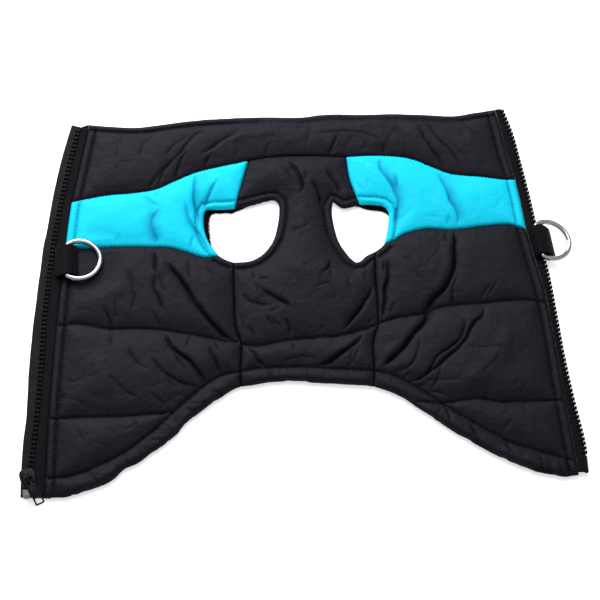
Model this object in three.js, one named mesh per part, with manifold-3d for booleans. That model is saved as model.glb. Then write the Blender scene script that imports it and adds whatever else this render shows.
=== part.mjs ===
// Padded winter vest for a small dog, unzipped along the back and laid open with its outer side up.
// Millimetres, +Z up. The neck edge lies toward +Y and the gathered hem toward -Y, and the lining
// rests on z = 0. Left and right are those of someone who looks down on it from the hem side.
import * as THREE from 'three';
import Module from 'manifold-3d';

// Heights, from the surface that the vest lies on
const GAP = 0.3;
const LINING_THICKNESS = 2.0;
const GUARD_THICKNESS = 1.2;
const PANEL_BOTTOM = LINING_THICKNESS + GAP;
const FREE_EDGE_TOP = 3.9;
const STITCH_TOP = 4.9;
const TAPE_BOTTOM = 3.4;
const TAPE_THICKNESS = 1.0;
const TEETH_BOTTOM = 2.6;
const TEETH_HEIGHT = 2.6;

// How a padded panel swells away from its stitches
const PUFF_REACH = 11;
const EDGE_REACH = 1.6;
const RIDGE_SHARE = 0.3;
const RIDGE_AWAY = 2.0;
const RIDGE_WIDTH = 1.2;
const FOLD_TAPER = 0.16;
const GATHER_LENGTH = 15;
const GATHER_DEPTH = 0.55;

// Sewn distances from an edge
const TOPSTITCH_IN = 6.5;
const LINING_IN = 2.0;
const LINING_LEFT_IN = 4.0;

// Spacing of the points that the cloth is worked out from
const EDGE_STEP = 7.0;
const FOLD_STEP = 7.0;
const FILL_STEP = 9.0;
const SHOULDER_IN = 3.0;
const FOLD_SIDE = 4.2;
const CLEAR_OF_EDGE = 2.6;
const CLEAR_OF_ROW = 3.6;

// Zip
const TEETH_WIDTH = 3.2;
const PIN = { x: 177, top: -115.4, bottom: -126.8, width: 2.4, height: 2.4 };
const BOX = { x: -181.5, y: -125.4, width: 4.6, length: 5.6, bottom: 2.2, height: 3.6 };
const SLIDER = {
  x: -180.5, y: -115.5, turn: 0.21, length: 13, frontWidth: 10.4, rearWidth: 7.6,
  bottom: 1.5, plate: 0.8, channel: 3.2, topPlate: 1.1, slot: 2.0, rim: 0.7,
};
const BRIDGE = { width: 1.6, inner: 6, height: 2.9, wall: 1.2, hinge: 1.6 };
const PULL = {
  turn: 0.43, drop: 0.12, width: 6.2, thickness: 1.4, back: 0.7, length: 19.8,
  eyeFrom: 0.7, eyeTo: 5.5, eyeWidth: 4.2, windowFrom: 15.2, windowTo: 18.8, windowWidth: 4,
};

// Webbing loops and D-rings
const WEBBING_WIDTH = 21.8;
const RING = {
  wire: 3, bar: 10.9, corner: 1.8, bend: Math.PI / 3,
  centre: 7.33, deep: 14.2, half: 14, sides: 10, arcSteps: 18,
};
const LOOP_LEFT = { x: -157.9, y: 39.6, turn: 0, barU: 3.0, barZ: 9.8, tilt: 0.06 };
const LOOP_RIGHT = { x: 156.6, y: 40.4, turn: 0.118, barU: 4.9, barZ: 8.3, tilt: 0.285 };
const RING_REST = { x: -143, y: 39.6, radius: 19, top: 6.6 };
const WEBBING_REST = { x: -153, y: 39.6, radius: 13.5, top: 6.4 };
const REST_FADE = 12;

// Places where seams and edges meet: x, y
const AT = {
  neckLeft: [-140.3, 147.8], neckRight: [140.5, 147.3],
  bandLeft: [-152.5, 87], bandRight: [149.8, 91],
  bandChestLeft: [-31.5, 114], bandChestRight: [35.5, 114],
  yokeLeft: [-156.5, 53.5], yokeRight: [153.8, 52.5],
  holeTopLeft: [-42, 77.5], holeTopRight: [42.5, 77],
  holeLowLeft: [-54, 41.4], holeLowRight: [57.6, 45],
  holeSeamLeft: [-44.5, 35.8], holeSeamRight: [51, 39.6],
  hemSeamLeft: [-42.5, -55.4], hemSeamRight: [44.5, -59.2],
  cornerLeft: [-170, -127.5], cornerRight: [171.5, -127.6],
};

// Seams and edges: from one meeting place to another, through the x, y of each row
const LINES = {
  neck: ['neckLeft', 'neckRight', [
    [-124, 145.6], [-108, 144.2], [-92, 145.5], [-72, 147.7], [-48, 148.7], [-20, 148.6],
    [6, 147.3], [26, 148.8], [46, 147.6], [68, 147.1], [90, 145.6], [112, 143.6], [127, 145.4]]],
  zipLeftBand: ['neckLeft', 'bandLeft', [[-143.5, 132], [-147.8, 110]]],
  zipLeftYoke: ['bandLeft', 'yokeLeft', [[-154.7, 70]]],
  zipLeftSide: ['yokeLeft', 'cornerLeft', [[-159.4, 28], [-163.4, -14], [-166.2, -50], [-168.6, -90]]],
  zipRightBand: ['neckRight', 'bandRight', [[143.3, 131], [145.7, 113]]],
  zipRightYoke: ['bandRight', 'yokeRight', [[152, 73]]],
  zipRightSide: ['yokeRight', 'cornerRight', [
    [157.6, 30], [162, 4], [165.2, -32], [168, -78], [170.6, -110]]],
  bandLeft: ['bandLeft', 'bandChestLeft', [
    [-128.5, 91], [-110.5, 92], [-94.5, 94.4], [-84.5, 99], [-68.5, 106], [-51.5, 110]]],
  bandMiddle: ['bandChestLeft', 'bandChestRight', [[-16, 116], [5, 116.2]]],
  bandRight: ['bandChestRight', 'bandRight', [
    [57.5, 114], [79.5, 110.5], [94.5, 103], [106, 97.5], [127.5, 94], [142.5, 91.2]]],
  yokeChestLeft: ['bandChestLeft', 'holeTopLeft', [[-36.5, 97]]],
  yokeChestRight: ['bandChestRight', 'holeTopRight', [[37, 97]]],
  yokeLowLeft: ['yokeLeft', 'holeLowLeft', [
    [-147, 51], [-123.5, 51], [-99.5, 50], [-87.5, 49], [-75.5, 45], [-64.5, 40.5]]],
  yokeLowRight: ['holeLowRight', 'yokeRight', [
    [64.5, 48], [72, 52.3], [86, 55.6], [104.5, 54], [126.5, 56], [143, 56.3]]],
  holeYokeLeft: ['holeTopLeft', 'holeLowLeft', [
    [-50, 77.3], [-57, 77.4], [-61.4, 77.2], [-63.3, 73.5], [-63.6, 63], [-60.9, 52.5]]],
  holeYokeRight: ['holeTopRight', 'holeLowRight', [
    [52, 76.3], [59, 74.6], [62.2, 70], [61.4, 60], [59.7, 51.6]]],
  holeChestLeft: ['holeTopLeft', 'holeSeamLeft', [
    [-31.5, 79.6], [-21.5, 82.2], [-15, 82.8], [-11.8, 79], [-11.8, 72], [-13.6, 61.5],
    [-16.2, 52.4], [-19.9, 46], [-25.6, 40], [-33.4, 36.2]]],
  holeChestRight: ['holeTopRight', 'holeSeamRight', [
    [35.5, 74.9], [31, 74.6], [27.6, 77.2], [24.9, 79.6], [23.5, 74.5], [23.4, 68], [24.5, 59],
    [26.7, 49], [30.6, 41], [35.6, 34], [39, 31.8], [45.3, 36.8]]],
  holeSideLeft: ['holeSeamLeft', 'holeLowLeft', [[-49.8, 38.3]]],
  holeSideRight: ['holeSeamRight', 'holeLowRight', [[54.6, 42]]],
  sideLeft: ['holeSeamLeft', 'hemSeamLeft', [[-44.6, 5], [-44.2, -14], [-41.2, -25], [-42.3, -42]]],
  sideRight: ['holeSeamRight', 'hemSeamRight', [
    [50.4, 22], [50.5, -4], [49.6, -16], [45.8, -28], [45.4, -46]]],
  hemLeft: ['hemSeamLeft', 'cornerLeft', [
    [-49.5, -58.4], [-62.5, -67.2], [-75.5, -77.2], [-87.5, -89.6], [-98.5, -98.2],
    [-109.5, -105.8], [-120.5, -111.2], [-126, -117], [-137, -122.4], [-149, -126.2],
    [-160, -128.2]]],
  hemMiddle: ['hemSeamLeft', 'hemSeamRight', [[-33, -54.6], [-15, -52.8], [5, -54.6], [25, -57.4]]],
  hemRight: ['hemSeamRight', 'cornerRight', [
    [60.5, -66.4], [72.5, -76.8], [85.5, -86.7], [96.5, -95.4], [110.5, -104.8],
    [123.5, -113.7], [138.5, -121.2], [152, -125.8], [163, -128.8]]],
};

// Rows of stitches inside a panel: x, y along each row
const QUILTING = {
  sideLeftUpper: [
    [-163.5, -7], [-148, -6], [-128, -10.5], [-110, -11], [-92, -13], [-74, -17], [-43.5, -24.5]],
  sideLeftLower: [[-166.5, -74], [-150, -73.6], [-122, -74.2], [-106, -73.6], [-87.5, -73]],
  chest: [[-42, -25], [-32, -27.5], [-12, -24.4], [8, -23], [24, -22.4], [36, -19.4], [48, -16]],
  sideRightUpper: [[48.5, -15], [62, -11], [79, -8.6], [90, -4.6], [118, -2.6], [150, -1.6], [162, -4]],
  sideRightLower: [[72.5, -72.5], [88, -74], [112, -72], [124, -74.6], [160, -75.6], [168, -76]],
  hemLeft: [
    [-42.5, -45.6], [-54, -47.6], [-65, -54], [-76, -63], [-88, -74], [-101, -86], [-113, -95.6],
    [-125, -103], [-140, -110], [-154, -114.6], [-169, -115.6]],
  hemMiddle: [[-42.5, -45.6], [-30, -43.8], [-6.5, -43.8], [18, -46], [45.4, -49]],
  hemRight: [
    [45.4, -49], [58.5, -53], [73.5, -63.4], [87, -74], [106, -88], [127.5, -102.4], [148, -111],
    [170.8, -118.6]],
};

// Lining openings for the front legs, x, y around each
const LINING_HOLE_LEFT = [
  [-59.8, 71], [-57.5, 75], [-51, 76], [-44, 75.6], [-37.5, 78.4], [-29.5, 81.2], [-21, 83.5],
  [-14, 84.3], [-10, 79.5], [-9.8, 70], [-11.6, 61], [-14.2, 51], [-18, 44.4], [-24, 38],
  [-32.6, 34.2], [-46, 33.8], [-53, 37.8], [-57, 44.6], [-59.4, 54]];
const LINING_HOLE_RIGHT = [
  [22.6, 82], [28, 80], [34, 77.6], [41, 76.9], [47, 74.5], [54, 73.2], [60.4, 70.6], [63.4, 66],
  [63, 59], [61.2, 50], [59.2, 43.4], [52.4, 37.8], [46.4, 34.6], [39, 30], [34.4, 32.6], [29.2, 40],
  [25.2, 48.6], [23, 59], [21.8, 69]];

// Folds of the cloth: the panel, the x, y of points along the fold, its depth and half width
const FOLDS = [
  { on: 'yoke_left', path: [[-95, 88], [-94.6, 66], [-95.4, 48]], depth: 2.4, width: 3.2 },
  { on: 'yoke_left', path: [[-70, 96], [-69, 80], [-66.5, 60], [-66, 48]], depth: 2.0, width: 3.4 },
  { on: 'side_left', path: [[-95.4, 52], [-95.6, 33], [-96.5, 16], [-93, -2]], depth: 4.2, width: 3.4 },
  { on: 'side_left', path: [
    [-88, 36], [-80, 21], [-72, 6], [-63, -7], [-53, -18], [-45, -25]], depth: 5.0, width: 3.0 },
  { on: 'side_left', path: [[-90, -15], [-82, -32], [-75, -39], [-64, -52]], depth: 3.2, width: 3.0 },
  { on: 'side_left', path: [[-60, -24], [-57, -36], [-53.5, -47]], depth: 2.4, width: 2.8 },
  { on: 'side_left', path: [[-133, 8], [-126, -10]], depth: 2.0, width: 3.4 },
  { on: 'chest', path: [[-4, 112], [2, 102], [4.5, 92], [1, 80]], depth: 3.2, width: 3.6 },
  { on: 'chest', path: [[10, 97], [18, 76]], depth: 3.0, width: 3.0 },
  { on: 'chest', path: [[-30, 30], [-26, 13], [-16, 6], [-5, -4]], depth: 3.2, width: 3.2 },
  { on: 'chest', path: [[-43, 13], [-29, 2], [-18, -2]], depth: 2.4, width: 3.2 },
  { on: 'chest', path: [[49, 13], [42, 3], [34, -7], [25, -21]], depth: 4.6, width: 3.2 },
  { on: 'chest', path: [[41, -23], [30, -33], [13, -43.5]], depth: 3.8, width: 2.8 },
  { on: 'chest', path: [[-38, -27], [-31, -38], [-25, -45]], depth: 3.4, width: 2.8 },
  { on: 'chest', path: [[21, 34], [12, 20]], depth: 2.2, width: 3.2 },
  { on: 'side_right', path: [[59.5, 36], [56, 18], [54, 2], [52, -14]], depth: 4.2, width: 3.0 },
  { on: 'yoke_right', path: [[58, 113], [64, 92], [66.5, 78]], depth: 2.4, width: 3.2 },
  { on: 'yoke_right', path: [[98, 96], [103, 78], [109, 64], [108, 53]], depth: 2.6, width: 4.0 },
  { on: 'side_right', path: [
    [107.5, 56], [104.5, 36], [99, 18], [89, 3], [82, -7], [70, -28],
    [56, -43]], depth: 6.0, width: 3.6 },
  { on: 'side_right', path: [
    [113, -13], [106, -25], [94, -34], [85, -42], [80, -52], [68, -58]], depth: 4.0, width: 3.0 },
  { on: 'side_right', path: [[77, -26], [72, -41], [64, -52]], depth: 2.6, width: 2.8 },
  { on: 'side_right', path: [[103, 26], [100, 8], [97, -6]], depth: 2.0, width: 3.4 },
  { on: 'neck_band', path: [[-26, 143], [-60, 122], [-88, 99]], depth: 2.2, width: 4.4 },
  { on: 'neck_band', path: [[-70, 138], [-90, 120], [-103, 98]], depth: 2.0, width: 4.4 },
  { on: 'neck_band', path: [[66, 141], [86, 124], [98, 104]], depth: 2.2, width: 4.4 },
  { on: 'neck_band', path: [[92, 135], [104, 119], [115, 100]], depth: 1.8, width: 4.4 },
  { on: 'neck_band', path: [[31, 137], [22, 117]], depth: 2.0, width: 3.6 },
];

// Panels: the lines around each, the rows of stitches in it, and how far its padding rises
const PANELS = {
  neck_band: {
    around: ['neck', 'zipRightBand', '-bandRight', '-bandMiddle', '-bandLeft', '-zipLeftBand'],
    turned: ['neck', 'zipLeftBand', 'zipRightBand'], rows: [], rise: 4.6,
  },
  yoke_left: {
    around: ['bandLeft', 'yokeChestLeft', 'holeYokeLeft', '-yokeLowLeft', '-zipLeftYoke'],
    turned: ['zipLeftYoke', 'holeYokeLeft'], rows: [], rise: 4.6,
  },
  yoke_right: {
    around: ['bandRight', 'zipRightYoke', '-yokeLowRight', '-holeYokeRight', '-yokeChestRight'],
    turned: ['zipRightYoke', 'holeYokeRight'], rows: [], rise: 4.6,
  },
  chest: {
    around: ['bandMiddle', 'yokeChestRight', 'holeChestRight', 'sideRight', '-hemMiddle', '-sideLeft',
      '-holeChestLeft', '-yokeChestLeft'],
    turned: ['holeChestLeft', 'holeChestRight'], rows: ['chest', 'hemMiddle'], hem: 'hemMiddle', rise: 5.6,
  },
  side_left: {
    around: ['yokeLowLeft', '-holeSideLeft', 'sideLeft', 'hemLeft', '-zipLeftSide'],
    turned: ['zipLeftSide', 'holeSideLeft'], rows: ['sideLeftUpper', 'sideLeftLower', 'hemLeft'],
    hem: 'hemLeft', rise: 5.6,
  },
  side_right: {
    around: ['yokeLowRight', 'zipRightSide', '-hemRight', '-sideRight', 'holeSideRight'],
    turned: ['zipRightSide', 'holeSideRight'], rows: ['sideRightUpper', 'sideRightLower', 'hemRight'],
    hem: 'hemRight', rise: 5.6,
  },
};

// Middle of each row of zip teeth, and the outer edge of the guard flap: x, y
const TEETH_LEFT = [
  [-147.8, 144.8], [-157.5, 99], [-166, 46], [-170.5, 0], [-173.2, -45], [-176.4, -83], [-179, -107]];
const TEETH_RIGHT = [
  [144.9, 147.3], [150.2, 126], [153.7, 102], [156.8, 80], [160.2, 50], [165, 15], [167.3, -15],
  [169.4, -45], [172.8, -77], [176.3, -103], [177, -114.8]];
const TAPE_FOOT_LEFT = [-180, -127.5];
const TAPE_FOOT_RIGHT = [177.2, -126.3];
const GUARD_EDGE = [
  [-153, 150], [-160.6, 117], [-167, 84], [-171.7, 54], [-176.5, 14], [-180.3, -22], [-181.9, -60],
  [-185, -98], [-185.7, -126]];

// Section of each webbing loop: distance along the strap, height
const STRAP_LEFT = [
  [-0.5, 4.7], [-0.5, 6.7], [-3.3, 6.7], [-3.45, 6.85], [-3.3, 7], [2, 7], [9, 7], [9.6, 7.7],
  [9.3, 8.7], [7.3, 10.3], [5.1, 12], [3, 12.6], [0.9, 11.7], [-1.2, 9.7], [-3.4, 9], [-4.9, 8.4],
  [-5.55, 6.85], [-4.9, 5.3], [-3.4, 4.7]];
const STRAP_LEFT_INSIDE = [
  [0.2, 8.2], [3, 8], [7.6, 8], [8.4, 8.2], [7, 9.2], [5.2, 10.8], [4.1, 11.45], [3, 11.6],
  [1.7, 11.1], [0.5, 9.5]];
const STRAP_RIGHT = [
  [0.5, 4.8], [3, 5.5], [7.8, 5.5], [9.8, 4.2], [11.8, 1.9], [13.2, 0.8], [14.2, 0.9], [14.5, 1.9],
  [13.4, 4], [11.3, 7.4], [8.9, 9.8], [6.6, 10.9], [4.9, 11.2], [3.1, 10.7], [1.5, 8.7], [0.5, 7]];
const STRAP_RIGHT_INSIDE = [
  [2.4, 6.8], [4.9, 6.5], [8, 6.5], [10.4, 5.1], [12.2, 3], [12.9, 2.3], [12.5, 3.6], [10.4, 6.7],
  [8.2, 8.9], [6.4, 9.9], [4.9, 10.15], [3.5, 9.6], [2.5, 8.3]];

// Curves and distances in the plane

function spaced(rows, step, closed = false) {
  const points = rows.map(([x, y]) => new THREE.Vector3(x, y, 0));
  const curve = new THREE.CatmullRomCurve3(points, closed, 'centripetal');
  const count = Math.max(1, Math.round(curve.getLength() / step));
  const out = curve.getSpacedPoints(count).map((p) => [p.x, p.y]);
  return closed ? out.slice(0, -1) : out;
}

function nearest(x, y, line) {
  let best = { distance: Infinity, along: 0 };
  for (let i = 0; i + 1 < line.length; i += 1) {
    const [ax, ay] = line[i];
    const dx = line[i + 1][0] - ax;
    const dy = line[i + 1][1] - ay;
    const t = Math.min(1, Math.max(0, ((x - ax) * dx + (y - ay) * dy) / (dx * dx + dy * dy)));
    const distance = Math.hypot(x - ax - t * dx, y - ay - t * dy);
    if (distance < best.distance) best = { distance, along: (i + t) / (line.length - 1) };
  }
  return best;
}

function isInside(x, y, loop) {
  let inside = false;
  for (let i = 0, j = loop.length - 1; i < loop.length; j = i, i += 1) {
    const [ax, ay] = loop[i];
    const [bx, by] = loop[j];
    if ((ay > y) !== (by > y) && x < ((bx - ax) * (y - ay)) / (by - ay) + ax) inside = !inside;
  }
  return inside;
}

// Points of a line moved to its left by a distance; a loop is moved the same way all round
function movedLeft(line, distance, closed = false) {
  const last = line.length - 1;
  return line.map(([x, y], i) => {
    const before = line[closed ? (i + last) % line.length : Math.max(0, i - 1)];
    const after = line[closed ? (i + 1) % line.length : Math.min(last, i + 1)];
    const a = new THREE.Vector2(x - before[0], y - before[1]).normalize();
    const b = new THREE.Vector2(after[0] - x, after[1] - y).normalize();
    const middle = new THREE.Vector2().addVectors(a, b).normalize();
    const share = Math.max(0.5, middle.dot(b.lengthSq() > 0 ? b : a));
    return [x - (middle.y * distance) / share, y + (middle.x * distance) / share];
  });
}

function area(loop) {
  return loop.reduce((sum, [x, y], i) => {
    const [nx, ny] = loop[(i + 1) % loop.length];
    return sum + (x * ny - nx * y) / 2;
  }, 0);
}

const counterclockwise = (loop) => (area(loop) < 0 ? [...loop].reverse() : loop);
const toShape = (loop) => new THREE.Shape(loop.map(([x, y]) => new THREE.Vector2(x, y)));

const lines = {};
for (const [name, [from, to, through]] of Object.entries(LINES)) {
  lines[name] = spaced([AT[from], ...through, AT[to]], EDGE_STEP);
}
const rows = {};
for (const [name, row] of Object.entries(QUILTING)) rows[name] = spaced(row, FOLD_STEP);
const folds = FOLDS.map((fold) => ({ ...fold, line: spaced(fold.path, FOLD_STEP) }));

function loopOf(names) {
  const loop = [];
  for (const name of names) {
    const line = name.startsWith('-') ? [...lines[name.slice(1)]].reverse() : lines[name];
    loop.push(...line.slice(0, -1));
  }
  return counterclockwise(loop);
}

// Triangles between points, each as three indices, by adding one point at a time
function triangulate(points) {
  const far = 4000;
  const all = [...points, [-far, -far], [far, -far], [0, far]];
  const circle = (a, b, c) => {
    const [ax, ay] = all[a];
    const [bx, by] = [all[b][0] - ax, all[b][1] - ay];
    const [cx, cy] = [all[c][0] - ax, all[c][1] - ay];
    const d = 2 * (bx * cy - by * cx);
    const x = (cy * (bx * bx + by * by) - by * (cx * cx + cy * cy)) / d;
    const y = (bx * (cx * cx + cy * cy) - cx * (bx * bx + by * by)) / d;
    return { corners: [a, b, c], x: x + ax, y: y + ay, squared: x * x + y * y };
  };
  const n = points.length;
  let triangles = [circle(n, n + 1, n + 2)];
  for (let i = 0; i < n; i += 1) {
    const [x, y] = points[i];
    const edges = new Map();
    triangles = triangles.filter((t) => {
      if ((x - t.x) ** 2 + (y - t.y) ** 2 >= t.squared) return true;
      for (let k = 0; k < 3; k += 1) {
        const a = t.corners[k];
        const b = t.corners[(k + 1) % 3];
        if (!edges.delete(`${b} ${a}`)) edges.set(`${a} ${b}`, [a, b]);
      }
      return false;
    });
    for (const [a, b] of edges.values()) triangles.push(circle(a, b, i));
  }
  return triangles.map((t) => t.corners).filter((corners) => corners.every((k) => k < n));
}

// Solids

const MATERIALS = {
  black: { color: 0x2b292e, roughness: 0.62, metalness: 0 },
  cyan: { color: 0x1fd0f0, roughness: 0.6, metalness: 0 },
  fleece: { color: 0x17161a, roughness: 0.95, metalness: 0 },
  tape: { color: 0x1d1c20, roughness: 0.8, metalness: 0 },
  plastic: { color: 0x17171a, roughness: 0.42, metalness: 0 },
  webbing: { color: 0x1a1a1c, roughness: 0.75, metalness: 0 },
  steel: { color: 0xd8dce0, roughness: 0.18, metalness: 1 },
};
for (const [name, look] of Object.entries(MATERIALS)) {
  MATERIALS[name] = new THREE.MeshStandardMaterial(look);
}

const garment = new THREE.Group();

function addMesh(name, geometry, material, parent = garment) {
  const mesh = new THREE.Mesh(geometry, MATERIALS[material]);
  mesh.name = name;
  parent.add(mesh);
  return mesh;
}

function geometryOf(vertices, triangles) {
  const geometry = new THREE.BufferGeometry();
  geometry.setAttribute('position', new THREE.Float32BufferAttribute(vertices.flat(), 3));
  geometry.setIndex(triangles.flat());
  return geometry;
}

function plate(loop, holes, bottom, thickness) {
  const shape = toShape(counterclockwise(loop));
  shape.holes = holes.map((hole) => new THREE.Path(hole.map(([x, y]) => new THREE.Vector2(x, y))));
  const geometry = new THREE.ExtrudeGeometry(shape, { depth: thickness, bevelEnabled: false });
  return geometry.translate(0, 0, bottom);
}

// Height of a panel's outer face above the surface that the vest lies on
function topAt(x, y, panel) {
  const stitched = Math.min(...panel.stitched.map((line) => nearest(x, y, line).distance));
  const edge = Math.min(...panel.edges.map((line) => nearest(x, y, line).distance));
  let top = STITCH_TOP + panel.rise * (1 - Math.exp(-stitched / PUFF_REACH));
  for (const fold of panel.folds) {
    const { distance, along } = nearest(x, y, fold.line);
    const ends = THREE.MathUtils.smoothstep(Math.min(along, 1 - along), -0.02, FOLD_TAPER);
    const trough = Math.exp(-((distance / fold.width) ** 2));
    const ridge = Math.exp(-(((distance / fold.width - RIDGE_AWAY) / RIDGE_WIDTH) ** 2));
    top -= fold.depth * ends * (trough - RIDGE_SHARE * ridge);
  }
  if (panel.hemLine) {
    const hem = nearest(x, y, panel.hemLine);
    const inCasing = Math.exp(-((hem.distance / TOPSTITCH_IN) ** 2));
    const turns = (hem.along * panel.hemLength) / GATHER_LENGTH;
    top += GATHER_DEPTH * inCasing * Math.sin(2 * Math.PI * turns);
  }
  for (const rest of [RING_REST, WEBBING_REST]) {
    const away = Math.hypot(x - rest.x, y - rest.y);
    const pressed = 1 - THREE.MathUtils.smoothstep(away, rest.radius, rest.radius + REST_FADE);
    top -= pressed * Math.max(0, top - rest.top);
  }
  top = Math.max(top, STITCH_TOP - 1);
  return FREE_EDGE_TOP + (top - FREE_EDGE_TOP) * (1 - Math.exp(-edge / EDGE_REACH));
}

function pointsIn(loop, panel) {
  const points = [...loop];
  const add = (x, y, clearance) => {
    if (!isInside(x, y, loop)) return;
    if (nearest(x, y, [...loop, loop[0]]).distance < Math.min(CLEAR_OF_EDGE, clearance)) return;
    if (points.some(([px, py]) => Math.hypot(px - x, py - y) < clearance)) return;
    points.push([x, y]);
  };
  for (const line of panel.rowLines) line.forEach(([x, y]) => add(x, y, CLEAR_OF_EDGE));
  for (const fold of panel.folds) fold.line.forEach(([x, y]) => add(x, y, CLEAR_OF_ROW));
  for (const [x, y] of movedLeft(loop, SHOULDER_IN, true)) add(x, y, CLEAR_OF_EDGE);
  for (const fold of panel.folds) {
    for (const side of [FOLD_SIDE, -FOLD_SIDE]) {
      movedLeft(fold.line, side).forEach(([x, y]) => add(x, y, CLEAR_OF_ROW));
    }
  }
  for (const line of panel.rowLines) {
    for (const side of [FOLD_SIDE, -FOLD_SIDE]) {
      movedLeft(line, side).forEach(([x, y]) => add(x, y, CLEAR_OF_ROW));
    }
  }
  const rowHeight = (FILL_STEP * Math.sqrt(3)) / 2;
  const box = new THREE.Box2().setFromPoints(loop.map(([x, y]) => new THREE.Vector2(x, y)));
  for (let r = 0; box.min.y + r * rowHeight < box.max.y; r += 1) {
    for (let x = box.min.x + ((r % 2) * FILL_STEP) / 2; x < box.max.x; x += FILL_STEP) {
      add(x + Math.sin(r * 7 + x) * 0.4, box.min.y + r * rowHeight, FILL_STEP * 0.62);
    }
  }
  return points;
}

// A padded panel: a flat underside, low walls all round, and the swelling outer face
function quiltedPanel(name, spec) {
  const around = loopOf(spec.around);
  const loop = movedLeft(around, GAP / 2, true);
  const turned = spec.turned.map((line) => lines[line]);
  const rowLines = spec.rows.map((row) => rows[row]);
  const hemLine = spec.hem ? lines[spec.hem] : null;
  const seams = spec.around.map((line) => line.replace('-', '')).filter((line) => line !== spec.hem);
  const sewn = seams.filter((line) => !spec.turned.includes(line)).map((line) => lines[line]);
  const eitherSide = (line) => [movedLeft(line, TOPSTITCH_IN), movedLeft(line, -TOPSTITCH_IN)];
  const topstitched = turned.flatMap(eitherSide);
  const panel = {
    rise: spec.rise,
    rowLines,
    edges: hemLine ? [...turned, hemLine] : turned,
    stitched: [...sewn, ...rowLines, ...topstitched],
    folds: folds.filter((fold) => fold.on === name),
    hemLine,
    hemLength: hemLine ? hemLine.length * EDGE_STEP : 0,
  };
  const points = pointsIn(loop, panel);
  const faces = triangulate(points).filter((corners) => {
    const x = corners.reduce((sum, k) => sum + points[k][0], 0) / 3;
    const y = corners.reduce((sum, k) => sum + points[k][1], 0) / 3;
    return isInside(x, y, loop);
  });
  const vertices = points.map(([x, y]) => [x, y, topAt(x, y, panel)]);
  const below = vertices.length;
  loop.forEach(([x, y]) => vertices.push([x, y, PANEL_BOTTOM]));
  const underside = THREE.ShapeUtils.triangulateShape(toShape(loop).getPoints(), []);
  underside.forEach(([a, b, c]) => faces.push([below + a, below + c, below + b]));
  loop.forEach((_, a) => {
    const b = (a + 1) % loop.length;
    faces.push([below + a, below + b, b], [below + a, b, a]);
  });
  return addMesh(name, geometryOf(vertices, faces), name.startsWith('yoke') ? 'cyan' : 'black');
}

for (const [name, spec] of Object.entries(PANELS)) quiltedPanel(name, spec);

// Lining, cut a little smaller than the vest, with its two leg openings

const joined = (...parts) => parts.flatMap((part, i) => (i + 1 < parts.length ? part.slice(0, -1) : part));
const zipLeft = joined(lines.zipLeftBand, lines.zipLeftYoke, lines.zipLeftSide);
const zipRight = joined(lines.zipRightBand, lines.zipRightYoke, lines.zipRightSide);
const hem = joined([...lines.hemLeft].reverse(), lines.hemMiddle, lines.hemRight);
const liningLoop = [
  ...movedLeft(lines.neck, -LINING_IN).slice(1, -1),
  ...movedLeft(zipRight, -LINING_IN).slice(1, -1),
  ...movedLeft(hem, LINING_IN).slice(1, -1).reverse(),
  ...movedLeft(zipLeft, LINING_LEFT_IN).slice(1, -1).reverse(),
];
const liningHoles = [LINING_HOLE_LEFT, LINING_HOLE_RIGHT].map((hole) => spaced(hole, EDGE_STEP, true));
addMesh('lining', plate(liningLoop, liningHoles, 0, LINING_THICKNESS), 'fleece');

// Guard flap under the left tape, tapes, and the rows that the teeth fill

function ribbon(inner, outer, bottom, thickness) {
  return plate([...inner, ...[...outer].reverse()], [], bottom, thickness);
}

const guardInner = movedLeft(zipLeft, LINING_LEFT_IN - GAP);
const guardOuter = spaced(GUARD_EDGE, EDGE_STEP);
addMesh('zip_guard', ribbon(guardInner.slice(1), guardOuter, 0, GUARD_THICKNESS), 'tape');

const teethLeft = spaced(TEETH_LEFT, EDGE_STEP);
const teethRight = spaced(TEETH_RIGHT, EDGE_STEP);
const tapeEdge = TEETH_WIDTH / 2 + GAP;
const tapeLeftOuter = movedLeft([...teethLeft, TAPE_FOOT_LEFT], tapeEdge);
const tapeRightOuter = movedLeft([...teethRight, TAPE_FOOT_RIGHT], -tapeEdge);
const tapeLeftInner = movedLeft(zipLeft, -GAP).slice(1, -1);
const tapeRightInner = movedLeft(zipRight, GAP).slice(1, -1);
addMesh('zip_tape_left', ribbon(tapeLeftInner, tapeLeftOuter, TAPE_BOTTOM, TAPE_THICKNESS), 'tape');
addMesh('zip_tape_right', ribbon(tapeRightInner, tapeRightOuter, TAPE_BOTTOM, TAPE_THICKNESS), 'tape');

function teethRow(line) {
  const half = TEETH_WIDTH / 2;
  return ribbon(movedLeft(line, half), movedLeft(line, -half), TEETH_BOTTOM, TEETH_HEIGHT);
}
addMesh('zip_teeth_left', teethRow(teethLeft), 'plastic');
addMesh('zip_teeth_right', teethRow(teethRight), 'plastic');

// Insertion pin and retaining box

const rectangle = (x0, x1, y0, y1) => [[x0, y0], [x1, y0], [x1, y1], [x0, y1]];

function chamfered(x0, x1, y0, y1, cut) {
  return [
    [x0 + cut, y0], [x1 - cut, y0], [x1, y0 + cut], [x1, y1 - cut],
    [x1 - cut, y1], [x0 + cut, y1], [x0, y1 - cut], [x0, y0 + cut]];
}

const pinHalf = PIN.width / 2;
const pinLoop = chamfered(PIN.x - pinHalf, PIN.x + pinHalf, PIN.bottom, PIN.top, 0.6);
addMesh('insertion_pin', plate(pinLoop, [], TEETH_BOTTOM, PIN.height), 'plastic');
const boxLoop = chamfered(-BOX.width / 2, BOX.width / 2, -BOX.length / 2, BOX.length / 2, 0.7);
const box = addMesh('retaining_box', plate(boxLoop, [], BOX.bottom, BOX.height), 'plastic');
box.position.set(BOX.x, BOX.y, 0);

// Slider: two plates held apart by a wedge at the front, open to the teeth and, at its sides, to the tapes

const wasm = await Module();
wasm.setup();

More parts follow.
